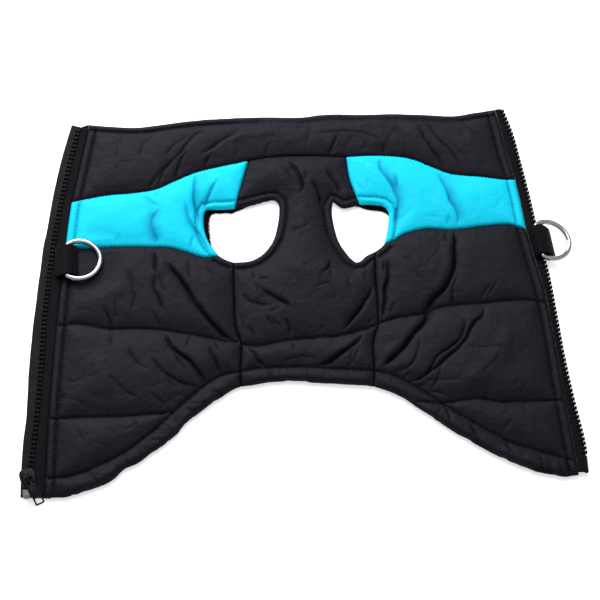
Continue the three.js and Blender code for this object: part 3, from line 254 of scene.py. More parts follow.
# Creases of each panel: depth, half width, the side that is steep (1 is to the left of the path,
# 0 is neither), and the x, y of points along the crease. A depth below 0 is a ridge.
CREASES = {
    "neck_band": [
        (2.0, 2.2, 1, [(-59, 140.5), (-67, 134.5), (-74, 127), (-79.5, 119), (-85, 113), (-92, 106)]),
        (2.0, 1.7, -1, [(-72.5, 122), (-77.5, 115), (-80.5, 107.5), (-82, 99.5)]),
        (1.7, 1.8, 0, [(-84.5, 114), (-90.5, 104.5), (-95, 94)]),
        (1.8, 2.2, 1, [(-34, 139.5), (-46, 131), (-55.5, 124.5), (-64.5, 117.5)]),
        (1.7, 1.4, 0, [(-55.5, 121), (-59.5, 114.5), (-62.5, 106.5)]),
        (0.6, 1.4, 0, [(-38.5, 122), (-41.5, 112.5)]),
        (1.0, 3.2, 0, [(-70, 137), (-80.5, 127), (-92.5, 116)]),
        (1.0, 4.0, 0, [(-91.5, 138), (-100, 132), (-106, 123.5), (-107.5, 114)]),
        (1.2, 1.5, 0, [(-102, 92), (-95.5, 101.5), (-88, 110)]),
        (1.1, 1.1, 0, [(-19.5, 113), (-18.5, 121), (-15.5, 127.5)]),
        (0.6, 1.2, 0, [(-14, 128), (-12.5, 137)]),
        (1.3, 1.9, 1, [(13, 144), (11, 131), (8.5, 120)]),
        (1.7, 1.4, -1, [(31.5, 131.5), (27, 123), (22, 113.5)]),
        (0.9, 1.3, 0, [(13, 131.5), (25.5, 132), (39.5, 133), (53, 129), (65, 122)]),
        (1.6, 2.4, 0, [(61.5, 123), (61.5, 112.5)]),
        (0.6, 1.1, 0, [(50.5, 123.5), (45, 116)]),
        (0.9, 1.7, 0, [(68, 137.5), (75.5, 129.5), (84.5, 120.5)]),
        (1.8, 2.0, -1, [(85, 135.5), (90, 126), (94.5, 117), (99.5, 107), (103.5, 97.5)]),
        (1.5, 2.0, -1, [(91.5, 138.5), (96, 131), (102, 121.5), (110, 110.5), (115.5, 100)]),
        (0.7, 2.0, 0, [(105, 124.5), (112.5, 114.5), (121.5, 106)]),
        (1.0, 1.6, 0, [(118.5, 137.5), (124, 130), (130.5, 125)]),
        (-1.0, 3.6, 0, [(-25, 142.5), (-14, 142.5), (-1.5, 142), (8.5, 139)]),
        (-0.8, 3.2, 0, [(-45, 125.5), (-36, 131.5), (-22.5, 134), (-2, 134)]),
        (-0.9, 3.4, 0, [(41, 139.5), (56, 139.5), (67.5, 135)]),
        (-0.8, 3.0, 0, [(76, 138.5), (83, 133.5), (89.5, 123.5)]),
    ],
    "yoke_left": [
        (2.0, 4.2, 0, [(-93, 79), (-97, 68), (-97, 57.5), (-95, 47.5)]),
        (1.2, 2.2, 0, [(-104, 91), (-99, 83), (-90.5, 77)]),
        (0.7, 1.6, 0, [(-94.5, 91.5), (-93.5, 86.5)]),
        (2.2, 1.9, -1, [(-68, 105), (-69, 91), (-69, 79.5), (-67, 69), (-68, 61)]),
        (0.5, 3.5, 0, [(-61.5, 106.5), (-63, 95.5)]),
        (1.9, 1.5, 0, [(-52, 100.5), (-57.5, 90.5), (-62, 80.5), (-65.5, 73)]),
        (1.7, 1.6, 1, [(-75.5, 83.5), (-73.5, 73.5), (-71, 65.5), (-67.5, 59), (-63.5, 51.5),
            (-59.5, 42)]),
        (1.0, 1.1, 0, [(-68.5, 58.5), (-71.5, 52.5), (-73, 44)]),
        (0.4, 1.4, 0, [(-120, 61.5), (-122, 51.5)]),
    ],
    "yoke_right": [
        (2.3, 2.5, -1, [(57.5, 111.5), (59, 102.5), (63, 94.5), (66.5, 85), (69, 77), (67, 68),
            (65, 57)]),
        (1.5, 1.4, 1, [(69, 99.5), (69, 91), (69, 82.5)]),
        (2.3, 2.9, -1, [(98, 98.5), (101, 88), (103.5, 78.5), (106.5, 70.5), (109, 62.5), (108, 54.5)]),
        (0.8, 1.6, 0, [(102.5, 65.5), (101, 55.5)]),
        (0.7, 1.2, 0, [(41, 93), (47, 85)]),
        (0.5, 1.2, 0, [(49, 96), (48, 85.5)]),
        (0.6, 1.2, 0, [(68.5, 61.5), (73, 66.5), (78.5, 71)]),
        (0.4, 1.5, 0, [(83, 64), (100.5, 62.5)]),
    ],
    "chest": [
        (3.0, 1.9, 1, [(-5, 112), (2, 102), (4.5, 91), (1, 83)]),
        (1.1, 1.2, 0, [(-9, 108), (-3, 99), (-1, 92)]),
        (1.2, 1.3, 0, [(5, 104), (8, 98), (6, 92)]),
        (2.6, 1.8, -1, [(10, 97), (15, 86), (18, 72)]),
        (2.4, 1.8, -1, [(20, 105), (28, 90), (31, 81)]),
        (0.9, 1.8, 0, [(-1, 70), (7, 61), (-8, 56)]),
        (-1.1, 6.0, 0, [(-14, 40), (4, 24), (26, 2)]),
        (1.5, 1.3, 0, [(-31.5, 28), (-31, 22.5), (-31, 19)]),
        (0.9, 1.0, 0, [(-30.5, 19.5), (-28, 12), (-27, 6.5)]),
        (1.0, 1.1, 0, [(-30.5, 21), (-23, 20), (-18.5, 18)]),
        (2.8, 1.9, 1, [(-28, 15), (-22, 10), (-14.5, 4.5), (-9, 0.5), (-6, -4.5)]),
        (1.7, 2.8, 0, [(-41, 12.5), (-34, 4.5), (-26.5, 1.5), (-19, -1)]),
        (1.4, 1.1, 0, [(-24.5, -5.5), (-22, -10.5), (-17, -17)]),
        (1.1, 1.0, 0, [(-21.5, -7), (-18.5, -11.5), (-14, -17)]),
        (2.0, 1.5, -1, [(-15, -9), (-11, -11), (-9, -16.5), (-8.5, -24.5)]),
        (1.3, 1.3, 0, [(-37, -13), (-33.5, -18), (-32.5, -25)]),
        (0.9, 1.2, 0, [(-15.5, -3), (-22, -4.5)]),
        (1.0, 2.2, 0, [(-41, -3), (-39.5, -13), (-39, -19.5)]),
        (1.8, 1.8, -1, [(21.5, 34), (19, 28.5), (16, 24), (12.5, 21.5)]),
        (1.0, 1.6, 0, [(21, 31.5), (21, 24), (21.5, 17)]),
        (1.0, 1.1, 0, [(6, 10.5), (12.5, 13), (18, 15), (22.5, 12.5), (26.5, 13)]),
        (4.4, 2.0, 1, [(48, 13.5), (45, 7), (39, -3), (32.5, -11.5), (25.5, -20)]),
        (3.6, 1.8, -1, [(40.5, -22.5), (30, -32), (20.5, -39), (13, -42.5), (7, -45)]),
        (1.2, 1.1, 0, [(35.5, -28.5), (31.5, -36), (29.5, -43), (26.5, -48)]),
        (1.2, 1.1, 0, [(37.5, -30), (33, -39.5), (30, -46.5)]),
        (3.0, 1.8, -1, [(-38, -27), (-33, -33), (-30.5, -38), (-27.5, -42), (-23, -44)]),
        (1.0, 1.2, 0, [(-7.5, -25.5), (-6.5, -29.5), (-5.5, -34)]),
        (1.1, 3.4, 0, [(-19, -41), (-8, -38.5), (-1, -36.5), (8.5, -41.5)]),
        (1.1, 1.3, 0, [(-41.5, -31), (-42, -37), (-42.5, -43.5)]),
        (0.7, 1.3, 0, [(32.5, 22), (32.5, 13), (36.5, 9)]),
        (0.7, 1.2, 0, [(43.5, 24.5), (43.5, 16)]),
        (0.6, 1.4, 0, [(21.5, 12.5), (23.5, 2)]),
        (0.8, 1.2, 0, [(42.5, -16), (47.5, -8.5)]),
        (0.7, 1.8, 0, [(1.5, 57), (-4, 55), (-6.5, 51)]),
        (0.6, 1.8, 0, [(10, -18.5), (15.5, -14.5)]),
    ],
    "side_left": [
        (0.9, 1.5, 0, [(-104, -93), (-92, -92)]),
        (1.2, 1.5, 0, [(-143, -111), (-135, -122)]),
        (0.8, 1.6, 0, [(-112, -76), (-109, -87)]),
        (0.9, 2.0, 0, [(-151, -80), (-143, -95)]),
        (0.8, 1.7, 0, [(-131, -78), (-122, -92)]),
        (-1.0, 7.0, 0, [(-140, -30), (-130, -50), (-134, -64)]),
        (4.0, 2.4, 1, [(-96.5, 46), (-96.5, 38.5), (-96, 32.5), (-95.5, 26.5)]),
        (2.3, 4.0, 0, [(-96, 29.5), (-97.5, 19.5), (-96.5, 11.5), (-93.5, 2), (-89.5, -4)]),
        (1.3, 2.4, 0, [(-95, 29), (-91.5, 18), (-88.5, 10)]),
        (4.6, 1.9, 1, [(-89.5, 36), (-84, 28.5), (-77, 18), (-71.5, 6.5), (-62.5, -7.5),
            (-54.5, -16), (-46.5, -24)]),
        (1.3, 1.6, 0, [(-73, 39), (-73.5, 30), (-73, 20.5)]),
        (0.9, 1.8, 0, [(-63.5, 33), (-59, 27.5), (-54, 23)]),
        (1.1, 2.8, 0, [(-118, 34), (-113.5, 24), (-111, 15), (-111.5, 7), (-114.5, -3.5)]),
        (0.6, 2.2, 0, [(-119.5, 14), (-119, 5)]),
        (1.8, 1.4, 0, [(-132.5, 6), (-128.5, -1.5), (-126, -9), (-125, -14)]),
        (1.1, 1.2, 0, [(-122.5, 12.5), (-123.5, 2), (-124.5, -9.5)]),
        (1.5, 2.4, 0, [(-125, -12.5), (-126.5, -20), (-127.5, -27)]),
        (1.3, 1.2, 0, [(-99.5, 0.5), (-96, -6), (-93, -15)]),
        (3.2, 1.8, 1, [(-91.5, -15), (-88.5, -24), (-84.5, -29), (-80, -33.5), (-73, -41),
            (-67.5, -48), (-64.5, -55.5)]),
        (1.6, 2.0, 0, [(-84, -30.5), (-81, -37.5), (-74.5, -45.5)]),
        (1.8, 2.8, 0, [(-115, -24), (-113, -31.5), (-109, -38), (-103.5, -45)]),
        (1.8, 1.7, 0, [(-100.5, -33.5), (-96, -41.5), (-89.5, -47.5), (-82, -52.5), (-74, -55),
            (-67.5, -56.5)]),
        (1.0, 1.5, 0, [(-93, -47.5), (-86.5, -54.5), (-80, -57.5)]),
        (2.3, 1.5, 1, [(-61.5, -23.5), (-60.5, -32.5), (-58, -39.5), (-54, -49.5)]),
        (1.1, 1.3, 0, [(-74.5, -18), (-76, -25), (-77.5, -30)]),
        (0.9, 1.1, 0, [(-74.5, -18), (-70, -26)]),
        (1.0, 1.1, 0, [(-59, -23), (-54.5, -30.5)]),
        (1.0, 2.4, 0, [(-130.5, -45), (-122.5, -52.5), (-113.5, -61), (-107, -65.5)]),
        (0.8, 1.6, 0, [(-102, -59.5), (-96.5, -64.5), (-90.5, -69)]),
        (1.0, 1.2, 0, [(-161.5, -60), (-155.5, -57)]),
        (1.0, 1.1, 0, [(-81.5, -66.5), (-72, -68), (-61.5, -67)]),
        (0.8, 1.0, 0, [(-79, -72.5), (-70, -73.5)]),
        (1.0, 1.1, 0, [(-62.5, -59), (-52, -62.5)]),
        (0.9, 1.2, 0, [(-87, -75), (-82, -83)]),
    ],
    "side_right": [
        (-1.4, 6.0, 0, [(143, -22), (128, -40), (104, -66)]),
        (1.0, 1.5, 0, [(104, -90), (110, -102)]),
        (1.0, 1.5, 0, [(127, -102), (131, -113)]),
        (1.7, 0.8, 0, [(148, -112), (149.5, -128)]),
        (3.8, 1.9, -1, [(59, 33), (58, 20), (55.5, 9), (54.5, -2.5), (52.5, -14)]),
        (2.0, 1.6, 0, [(56, 31.5), (56, 27), (56.5, 21)]),
        (5.6, 2.3, -1, [(105.5, 52), (104.5, 37), (103, 28), (100.5, 18), (96, 9.5), (89.5, 3),
            (85, -3), (82.5, -8.5), (79.5, -16), (71.5, -26), (63, -36), (56, -42.5), (50.5, -47.5)]),
        (1.6, 1.5, 0, [(106, 20), (101.5, 9), (99.5, -0.5), (98.5, -7)]),
        (1.2, 1.8, 0, [(100, 51.5), (100, 40)]),
        (0.7, 1.3, 0, [(67.5, 33), (72.5, 30), (77.5, 26)]),
        (0.8, 1.8, 0, [(76, 23), (79.5, 17.5), (86.5, 11)]),
        (1.2, 1.3, 0, [(126.5, 11.5), (121.5, 3.5), (118, -2)]),
        (0.9, 1.2, 0, [(132, 13.5), (126, 5), (121.5, 0.5)]),
        (0.9, 1.4, 0, [(64.5, 1.5), (59.5, -4), (56, -10.5)]),
        (1.5, 1.2, 0, [(75.5, -24.5), (75.5, -32.5), (73.5, -40), (70, -46.5), (59, -53)]),
        (0.9, 1.0, 0, [(66, -47), (60.5, -50), (55, -52)]),
        (1.0, 1.1, 0, [(69.5, -52), (63, -55.5)]),
        (2.8, 1.4, 1, [(109, -15), (106, -23), (102.5, -30.5), (95.5, -36), (89, -40),
            (85.5, -44), (83, -49), (78, -54), (73, -57.5), (66, -58.5)]),
        (3.0, 1.7, -1, [(121, -5.5), (118, -13.5), (113.5, -18.5), (110, -23.5), (106.5, -29.5),
            (101, -37), (95.5, -41.5), (89, -47), (82.5, -52), (76.5, -56.5)]),
        (1.6, 1.2, 0, [(88.5, -46.5), (88, -53.5), (85, -60), (80, -65.5)]),
        (1.3, 1.1, 0, [(80, -66), (87, -67), (92.5, -71)]),
        (0.8, 1.0, 0, [(70.5, -61.5), (77.5, -62)]),
        (0.9, 2.8, 0, [(131, -39), (122, -50), (112.5, -58.5)]),
        (0.7, 1.2, 0, [(134.5, -67), (139, -60.5)]),
        (0.6, 1.2, 0, [(139.5, -70.5), (144, -63.5)]),
        (1.8, 1.6, -1, [(89, -74), (91.5, -84), (92.5, -94)]),
        (1.1, 1.4, 0, [(105.5, -90), (109, -99.5)]),
        (0.7, 1.3, 0, [(125.5, -86), (132, -80.5)]),
        (1.0, 1.3, 0, [(126.5, -96.5), (132, -88)]),
    ],
}


# Curves and distances in the plane


def curve(rows, step, closed=False):
    """Points at even steps on the centripetal curve through rows of x, y."""
    p = np.array(rows, float)
    if closed:
        p = np.vstack([p[-1], p, p[:2]])
    else:
        p = np.vstack([2 * p[0] - p[1], p, 2 * p[-1] - p[-2]])
    gap = np.sqrt(np.hypot(*np.diff(p, axis=0).T))
    t = np.linspace(0, 1, 40, endpoint=False)[:, None]
    pieces = []
    for i in range(1, len(p) - 2):
        a, b, c, d = p[i - 1:i + 3]
        g, h, k = gap[i - 1:i + 2]
        start = ((b - a) / g - (c - a) / (g + h) + (c - b) / h) * h
        end = ((c - b) / h - (d - b) / (h + k) + (d - c) / k) * h
        pieces.append(
            b * (2 * t**3 - 3 * t**2 + 1) + start * (t**3 - 2 * t**2 + t)
            + c * (3 * t**2 - 2 * t**3) + end * (t**3 - t**2))
    dense = np.vstack(pieces + [p[-2]])
    along = lengths(dense)
    places = np.linspace(0, along[-1], max(1, round(along[-1] / step)) + 1)
    out = np.stack([np.interp(places, along, dense[:, k]) for k in (0, 1)], 1)
    return out[:-1] if closed else out


def lengths(line):
    """Distance from a line's start to each of its points."""
    return np.concatenate([[0], np.cumsum(np.hypot(*np.diff(line, axis=0).T))])


def normals(line, closed=False):
    """Unit vectors to the left of a line at each of its points."""
    if closed:
        ahead = np.roll(line, -1, 0) - np.roll(line, 1, 0)
    else:
        ahead = np.gradient(line, axis=0)
    ahead = ahead / np.maximum(np.hypot(*ahead.T), 1e-9)[:, None]
    return np.stack([-ahead[:, 1], ahead[:, 0]], 1)


def moved(line, distance, closed=False):
    """A line moved to its left by a distance, which may differ from point to point."""
    return line + normals(line, closed) * np.reshape(distance, (-1, 1))


def nearest(points, line):
    """For each point: its distance from a line, how far along it that is, and its side."""
    a = line[:-1]
    d = np.diff(line, axis=0)
    square = (d**2).sum(1)
    rel = points[:, None] - a[None]
    t = np.clip((rel * d).sum(2) / square, 0, 1)
    away = rel - t[..., None] * d
    squared = (away**2).sum(2)
    k = squared.argmin(1)
    rows = np.arange(len(points))
    cross = d[k, 0] * away[rows, k, 1] - d[k, 1] * away[rows, k, 0]
    along = lengths(line)[k] + t[rows, k] * np.sqrt(square[k])
    return np.sqrt(squared[rows, k]), along, np.sign(cross)


def signed_area(loop):
    """Area inside a closed line, above 0 where the line runs anticlockwise."""
    x, y = loop.T
    return np.sum(x * np.roll(y, -1) - y * np.roll(x, -1)) / 2


def inside(points, loops):
    """True for each point that an odd number of the loops go around."""
    result = np.zeros(len(points), bool)
    x, y = points.T
    for loop in loops:
        (ax, ay), (bx, by) = loop.T, np.roll(loop, -1, 0).T
        rise = np.where(by == ay, 1e-12, by - ay)
        spans = (ay[None] > y[:, None]) != (by[None] > y[:, None])
        left = x[:, None] < (bx - ax) * (y[:, None] - ay) / rise + ax
        result ^= (spans & left).sum(1) % 2 == 1
    return result


def smooth(low, high, value):
    """A step from 0 at low to 1 at high with soft ends."""
    t = np.clip((value - low) / (high - low), 0, 1)
    return t * t * (3 - 2 * t)


def noise(x, y, size, seed):
    """Smooth random hills from -1 to 1, about size across, the same on each run."""
    grid = np.random.RandomState(seed).uniform(-1, 1, (64, 64))
    turn = 1.7 * seed
    u = (x * math.cos(turn) + y * math.sin(turn)) / size + 640
    v = (y * math.cos(turn) - x * math.sin(turn)) / size + 640
    iu, iv = np.floor(u).astype(int), np.floor(v).astype(int)
    fu, fv = smooth(0, 1, u - iu), smooth(0, 1, v - iv)
    corner = [grid[(iu + i) % 64, (iv + j) % 64] for i in (0, 1) for j in (0, 1)]
    low = corner[0] * (1 - fv) + corner[1] * fv
    high = corner[2] * (1 - fv) + corner[3] * fv
    return low * (1 - fu) + high * fu


# Lines of the vest, at a fine spacing for outlines and a coarse one for distances

HEM_GATHER = 6.5
HEM_SCALLOP = 0.55
NECK_STRAY = 0.3
HEM_SEED, PLEAT_SEED, PATCH_SEED = 40, 70, 90


def gather(along, seed):
    """Uneven waves of the elastic hem, by distance along it."""
    wide = noise(along, 0 * along, HEM_GATHER, seed)
    return wide + 0.4 * noise(along, 0 * along, HEM_GATHER / 2.3, seed + 1)


fine, coarse = {}, {}
for number, (name, (start, end, through)) in enumerate(LINES.items()):
    rows = [AT[start], *through, AT[end]]
    line = curve(rows, FINE)
    along = lengths(line)
    ends = smooth(0, 6, np.minimum(along, along[-1] - along))
    if name.startswith("hem"):
        line = moved(line, HEM_SCALLOP * ends * gather(along, HEM_SEED + number))
    elif name == "neck":
        line = moved(line, NECK_STRAY * ends * noise(along, 0 * along, 11, 7))
    fine[name] = line
    coarse[name] = curve(rows, COARSE)
stitch_rows = {name: curve(rows, FINE) for name, rows in QUILTING.items()}


def joined(*parts):
    """One line out of several that follow each other."""
    return np.vstack([part[:-1] for part in parts[:-1]] + [parts[-1]])


def around(names):
    """The closed outline that follows the named lines, anticlockwise, and which points are free."""
    loop, free = [], []
    for name in names:
        line = fine[name.strip("-")]
        line = line[::-1] if name.startswith("-") else line
        loop.append(line[:-1])
        free += [name.strip("-")] * (len(line) - 1)
    loop = np.vstack(loop)
    area = signed_area(loop)
    if area < 0:
        return loop[::-1], free[::-1], -area
    return loop, free, area


# Meshes


def to_frame(points):
    """Points of the vest's plan, in the frame's metres."""
    out = np.array(points, float)
    out[:, :2] += SHIFT
    return out * MM


def add_mesh(name, points, faces, material):
    """A smooth-shaded object of points in the vest's plan and faces of their numbers."""
    mesh = bpy.data.meshes.new(name)
    mesh.from_pydata(to_frame(points).tolist(), [], [tuple(int(k) for k in f) for f in faces])
    mesh.validate()
    mesh.update()
    mesh.polygons.foreach_set("use_smooth", [True] * len(mesh.polygons))
    mesh.materials.append(material)
    piece = bpy.data.objects.new(name, mesh)
    bpy.context.scene.collection.objects.link(piece)
    return piece


def triangles(points, loops):
    """Triangles between points, inside loops, each of which is a run of their numbers."""
    edges = [(a, b) for loop in loops for a, b in zip(loop, [*loop[1:], loop[0]])]
    plane = [Vector((float(x), float(y))) for x, y in points]
    _, _, faces, origin, _, _ = delaunay_2d_cdt(plane, edges, [], 1, 1e-6)
    faces = np.array([[origin[k][0] for k in face] for face in faces])
    middles = points[faces].mean(1)
    return faces[inside(middles, [points[list(loop)] for loop in loops])]


def numbered(loops):
    """For each loop, the run of its points' numbers when the loops are stacked."""
    runs, first = [], 0
    for loop in loops:
        runs.append(list(range(first, first + len(loop))))
        first += len(loop)
    return runs


# Points keep apart by the cells that each one takes around it: cell size in steps, and reach in cells
CELL = 0.36
OUTLINE_REACH = 2
ROW_REACH = 1
MARGIN = 4


def filled(loops, step, rows=()):
    """Points on and inside loops, the loops' first, and the run of numbers of each loop."""
    runs = numbered(loops)
    points = np.vstack(loops)
    cell = step * CELL
    low = points.min(0) - MARGIN * step
    taken = np.zeros(np.ceil((points.max(0) + MARGIN * step - low) / cell).astype(int) + 1, bool)

    def take(spots, reach):
        index = np.round((spots - low) / cell).astype(int)
        for i in range(-reach, reach + 1):
            for j in range(-reach, reach + 1):
                if i * i + j * j <= reach * reach + 0.5:
                    taken[index[:, 0] + i, index[:, 1] + j] = True

    def clear(spots):
        index = np.round((spots - low) / cell).astype(int)
        return ~taken[index[:, 0], index[:, 1]]

    take(points, OUTLINE_REACH)
    for row in rows:
        row = row[inside(row, loops)]
        row = row[clear(row)]
        if len(row):
            points = np.vstack([points, row])
            take(row, ROW_REACH)
    height = step * math.sqrt(3) / 2
    low_x, low_y = np.vstack(loops).min(0)
    high_x, high_y = np.vstack(loops).max(0)
    y, x = np.meshgrid(np.arange(low_y, high_y, height), np.arange(low_x, high_x, step))
    x = x + (np.arange(x.shape[1]) % 2) * step / 2
    spots = np.stack([x.ravel(), y.ravel()], 1)
    spots = spots[(spots[:, 0] < high_x) & (spots[:, 1] < high_y)]
    spots = spots[clear(spots)]
    spots = spots[inside(spots, loops)]
    return np.vstack([points, spots]), runs


BULGE_AT = 0.45


def shell(name, points, runs, top, bottom, material, bulge=None):
    """A closed body: an upper face with heights, walls down its loops, and a flat underside."""
    upper = triangles(points, runs)
    count = len(points)
    solid = [np.column_stack([points, top])]
    faces = [tuple(f) for f in upper]
    rim = [k for run in runs for k in run]
    place = {k: i for i, k in enumerate(rim)}
    middle = points[rim]
    if bulge is not None:
        middle = middle + bulge
    solid.append(np.column_stack([middle, top[rim] * BULGE_AT + bottom * (1 - BULGE_AT)]))
    solid.append(np.column_stack([points[rim], np.full(len(rim), bottom)]))
    for run in runs:
        for a, b in zip(run, [*run[1:], run[0]]):
            i, j = count + place[a], count + place[b]
            faces.append((a, i, j, b))
            faces.append((i, i + len(rim), j + len(rim), j))
    lower = triangles(points[rim], [[place[k] for k in run] for run in runs])
    below = count + len(rim)
    faces += [(below + c, below + b, below + a) for a, b, c in lower]
    return add_mesh(name, np.vstack(solid), faces, material)


def outward_walls(loops):
    """Loops turned so that their walls face out: the outer one anticlockwise, the others not."""
    out = []
    for k, loop in enumerate(loops):
        out.append(loop if (signed_area(loop) > 0) == (k == 0) else loop[::-1])
    return out


def slab(loops, bottom, top, rounding, corners=3):
    """Points and faces of a plate with rounded edges, from its outline and holes."""
    loops = outward_walls([np.array(loop, float) for loop in loops])
    angles = np.linspace(0, math.pi / 2, corners + 1)
    levels = []
    for a in angles[::-1]:
        levels.append((bottom + rounding * (1 - math.sin(a)), rounding * (1 - math.cos(a))))
    for a in angles:
        levels.append((top - rounding * (1 - math.sin(a)), rounding * (1 - math.cos(a))))
    rings = []
    for z, inset in levels:
        flat = np.vstack([moved(loop, inset, True) for loop in loops])
        rings.append(np.column_stack([flat, np.full(len(flat), z)]))
    size = len(rings[0])
    runs = numbered(loops)
    faces = []
    for level in range(len(levels) - 1):
        low, high = level * size, (level + 1) * size
        for run in runs:
            for a, b in zip(run, [*run[1:], run[0]]):
                faces.append((low + a, low + b, high + b, high + a))
    cap = triangles(rings[-1][:, :2], runs)
    top_start = (len(levels) - 1) * size
    faces += [tuple(top_start + k for k in f) for f in cap]
    faces += [(c, b, a) for a, b, c in triangles(rings[0][:, :2], runs)]
    return np.vstack(rings), faces


def gathered(parts):
    """One set of points and faces out of several."""
    points, faces, first = [], [], 0
    for part_points, part_faces in parts:
        points.append(part_points)
        faces += [tuple(first + k for k in f) for f in part_faces]
        first += len(part_points)
    return np.vstack(points), faces


def tube_faces(count, size, closed=False):
    """Faces between count rings of size points each, in a row or in a circle."""
    faces = []
    for i in range(count if closed else count - 1):
        j = (i + 1) % count
        for k in range(size):
            m = (k + 1) % size
            faces.append((i * size + k, i * size + m, j * size + m, j * size + k))
    return faces


def flipped(faces):
    """The same faces, looking the other way."""
    return [face[::-1] for face in faces]


# Materials


def material(name, color, roughness, metallic=0.0, specular=0.5):
    """A new material with the values that are the same all over."""
    made = bpy.data.materials.new(name)
    made.use_nodes = True
    shader = shader_of(made)
    shader.inputs["Base Color"].default_value = (*color, 1)
    shader.inputs["Roughness"].default_value = roughness
    shader.inputs["Metallic"].default_value = metallic
    shader.inputs["Specular IOR Level"].default_value = specular
    return made


def shader_of(made):
    return made.node_tree.nodes["Principled BSDF"]


def node(made, kind, **settings):
    """A new node with its inputs or its own settings filled in by name."""
    new = made.node_tree.nodes.new(kind)
    for key, value in settings.items():
        if key in new.inputs:
            new.inputs[key].default_value = value
        else:
            setattr(new, key, value)
    return new


def link(made, source, target):
    made.node_tree.links.new(source, target)


def plan(made):
    """Coordinates in millimetres, along the object's own axes."""
    place = node(made, "ShaderNodeTexCoord")
    mapping = node(made, "ShaderNodeMapping", Scale=[1 / MM] * 3)
    link(made, place.outputs["Object"], mapping.inputs["Vector"])
    return mapping.outputs["Vector"]


def noise_node(made, vector, size, detail=2.0):
    """Soft noise about size millimetres across."""
    new = node(made, "ShaderNodeTexNoise", Scale=1 / size, Detail=detail)
    link(made, vector, new.inputs["Vector"])
    return new.outputs["Fac"]


def weave_node(made, vector, pitch, direction):
    """Threads side by side, a pitch in millimetres apart and slightly uneven."""
    new = node(
        made, "ShaderNodeTexWave", wave_type="BANDS", bands_direction=direction, wave_profile="SIN",
        Scale=1 / pitch / math.pi, Distortion=0.6)
    new.inputs["Detail Scale"].default_value = 0.4
    link(made, vector, new.inputs["Vector"])
    return new.outputs["Fac"]


def mixed(made, fac, low, high):
    """A value that goes from low to high with a factor."""
    new = node(made, "ShaderNodeMapRange")
    new.inputs["To Min"].default_value = low
    new.inputs["To Max"].default_value = high
    link(made, fac, new.inputs["Value"])
    return new.outputs["Result"]


def color_mix(made, fac, low, high, blend="MIX"):
    """A color out of two by a factor, each of the three a fixed value or a node's output."""
    new = node(made, "ShaderNodeMix", data_type="RGBA", blend_type=blend)
    for socket, value in ((new.inputs[0], fac), (new.inputs[6], low), (new.inputs[7], high)):
        if isinstance(value, bpy.types.NodeSocket):
            link(made, value, socket)
        else:
            socket.default_value = value
    return new.outputs[2]


def bumped(made, heights):
    """Adds bump from (height, strength, distance in millimetres) one on another."""
    normal = None
    for height, strength, distance in heights:
        new = node(made, "ShaderNodeBump")
        new.inputs["Strength"].default_value = strength
        new.inputs["Distance"].default_value = distance * MM
        link(made, height, new.inputs["Height"])
        if normal is not None:
            link(made, normal, new.inputs["Normal"])
        normal = new.outputs["Normal"]
    link(made, normal, shader_of(made).inputs["Normal"])


def nylon(name, low, high, roughness, specular, painted_shade_color, grain_range, crumple):
    """Light woven nylon: fine square weave, slubs, small crumples, and painted shade from the mesh's shade
    layer, darker in its folds, grooves and puckers.
    """
    made = material(name, low, roughness, specular=specular)
    shader = shader_of(made)
    vector = plan(made)
    cloth = color_mix(made, noise_node(made, vector, 34.0, 3.0), (*low, 1), (*high, 1))
    threads = mixed(made, noise_node(made, vector, 0.9, 2.0), 1 - grain_range, 1 + grain_range)
    grain = color_mix(made, 1.0, cloth, threads, "MULTIPLY")
    # The shade layer paints shade into the colour: it multiplies toward the painted shade colour in folds,
    # grooves and puckers
    painted_shade = node(made, "ShaderNodeAttribute", attribute_name="shade").outputs["Fac"]
    shaded = color_mix(made, painted_shade, grain, (*painted_shade_color, 1), "MULTIPLY")
    link(made, shaded, shader.inputs["Base Color"])
    patches = noise_node(made, vector, 9.0, 3.0)
    link(made, mixed(made, patches, roughness - 0.07, roughness + 0.07), shader.inputs["Roughness"])
    bumped(made, [
        (noise_node(made, vector, 5.5, 4.0), crumple, 0.8),
        (noise_node(made, vector, 1.7, 2.0), crumple, 0.22),
        (weave_node(made, vector, 0.42, "X"), 0.22, 0.08),
        (weave_node(made, vector, 0.42, "Y"), 0.22, 0.08),
    ])
    return made


def fleece_material():
    """Black fleece: a dull, deep nap."""
    made = material("fleece", (0.004, 0.004, 0.005), 0.95, specular=0.03)
    vector = plan(made)
    bumped(made, [
        (noise_node(made, vector, 0.9, 5.0), 0.9, 0.8),
        (noise_node(made, vector, 3.5, 3.0), 0.5, 0.8),
    ])
    return made


def ribbed(name, low, high, roughness, pitch, direction, depth):
    """Narrow woven goods: ribs one way and a fine cross thread the other."""
    made = material(name, low, roughness, specular=0.05)
    vector = plan(made)
    tone = color_mix(made, noise_node(made, vector, 12.0, 3.0), (*low, 1), (*high, 1))
    link(made, tone, shader_of(made).inputs["Base Color"])
    other = "Y" if direction == "X" else "X"
    bumped(made, [
        (weave_node(made, vector, pitch, direction), 0.6, depth),
        (weave_node(made, vector, pitch * 0.55, other), 0.45, depth * 0.6),
    ])
    return made


def plastic(name, color, roughness, specular=0.5):
    """Moulded plastic with a faint orange-peel skin."""
    made = material(name, color, roughness, specular=specular)
    vector = plan(made)
    scuffs = mixed(made, noise_node(made, vector, 1.6, 5.0), roughness - 0.06, roughness + 0.1)
    link(made, scuffs, shader_of(made).inputs["Roughness"])
    bumped(made, [(noise_node(made, vector, 0.7, 3.0), 0.12, 0.1)])
    return made


def chrome():
    """Bright plated wire with faint draw marks."""
    made = material("ring_steel", (0.44, 0.43, 0.47), 0.12, metallic=1.0)
    vector = plan(made)
    marks = mixed(made, noise_node(made, vector, 1.1, 4.0), 0.06, 0.17)
    link(made, marks, shader_of(made).inputs["Roughness"])
    bumped(made, [(noise_node(made, vector, 2.2, 2.0), 0.05, 0.1)])
    return made
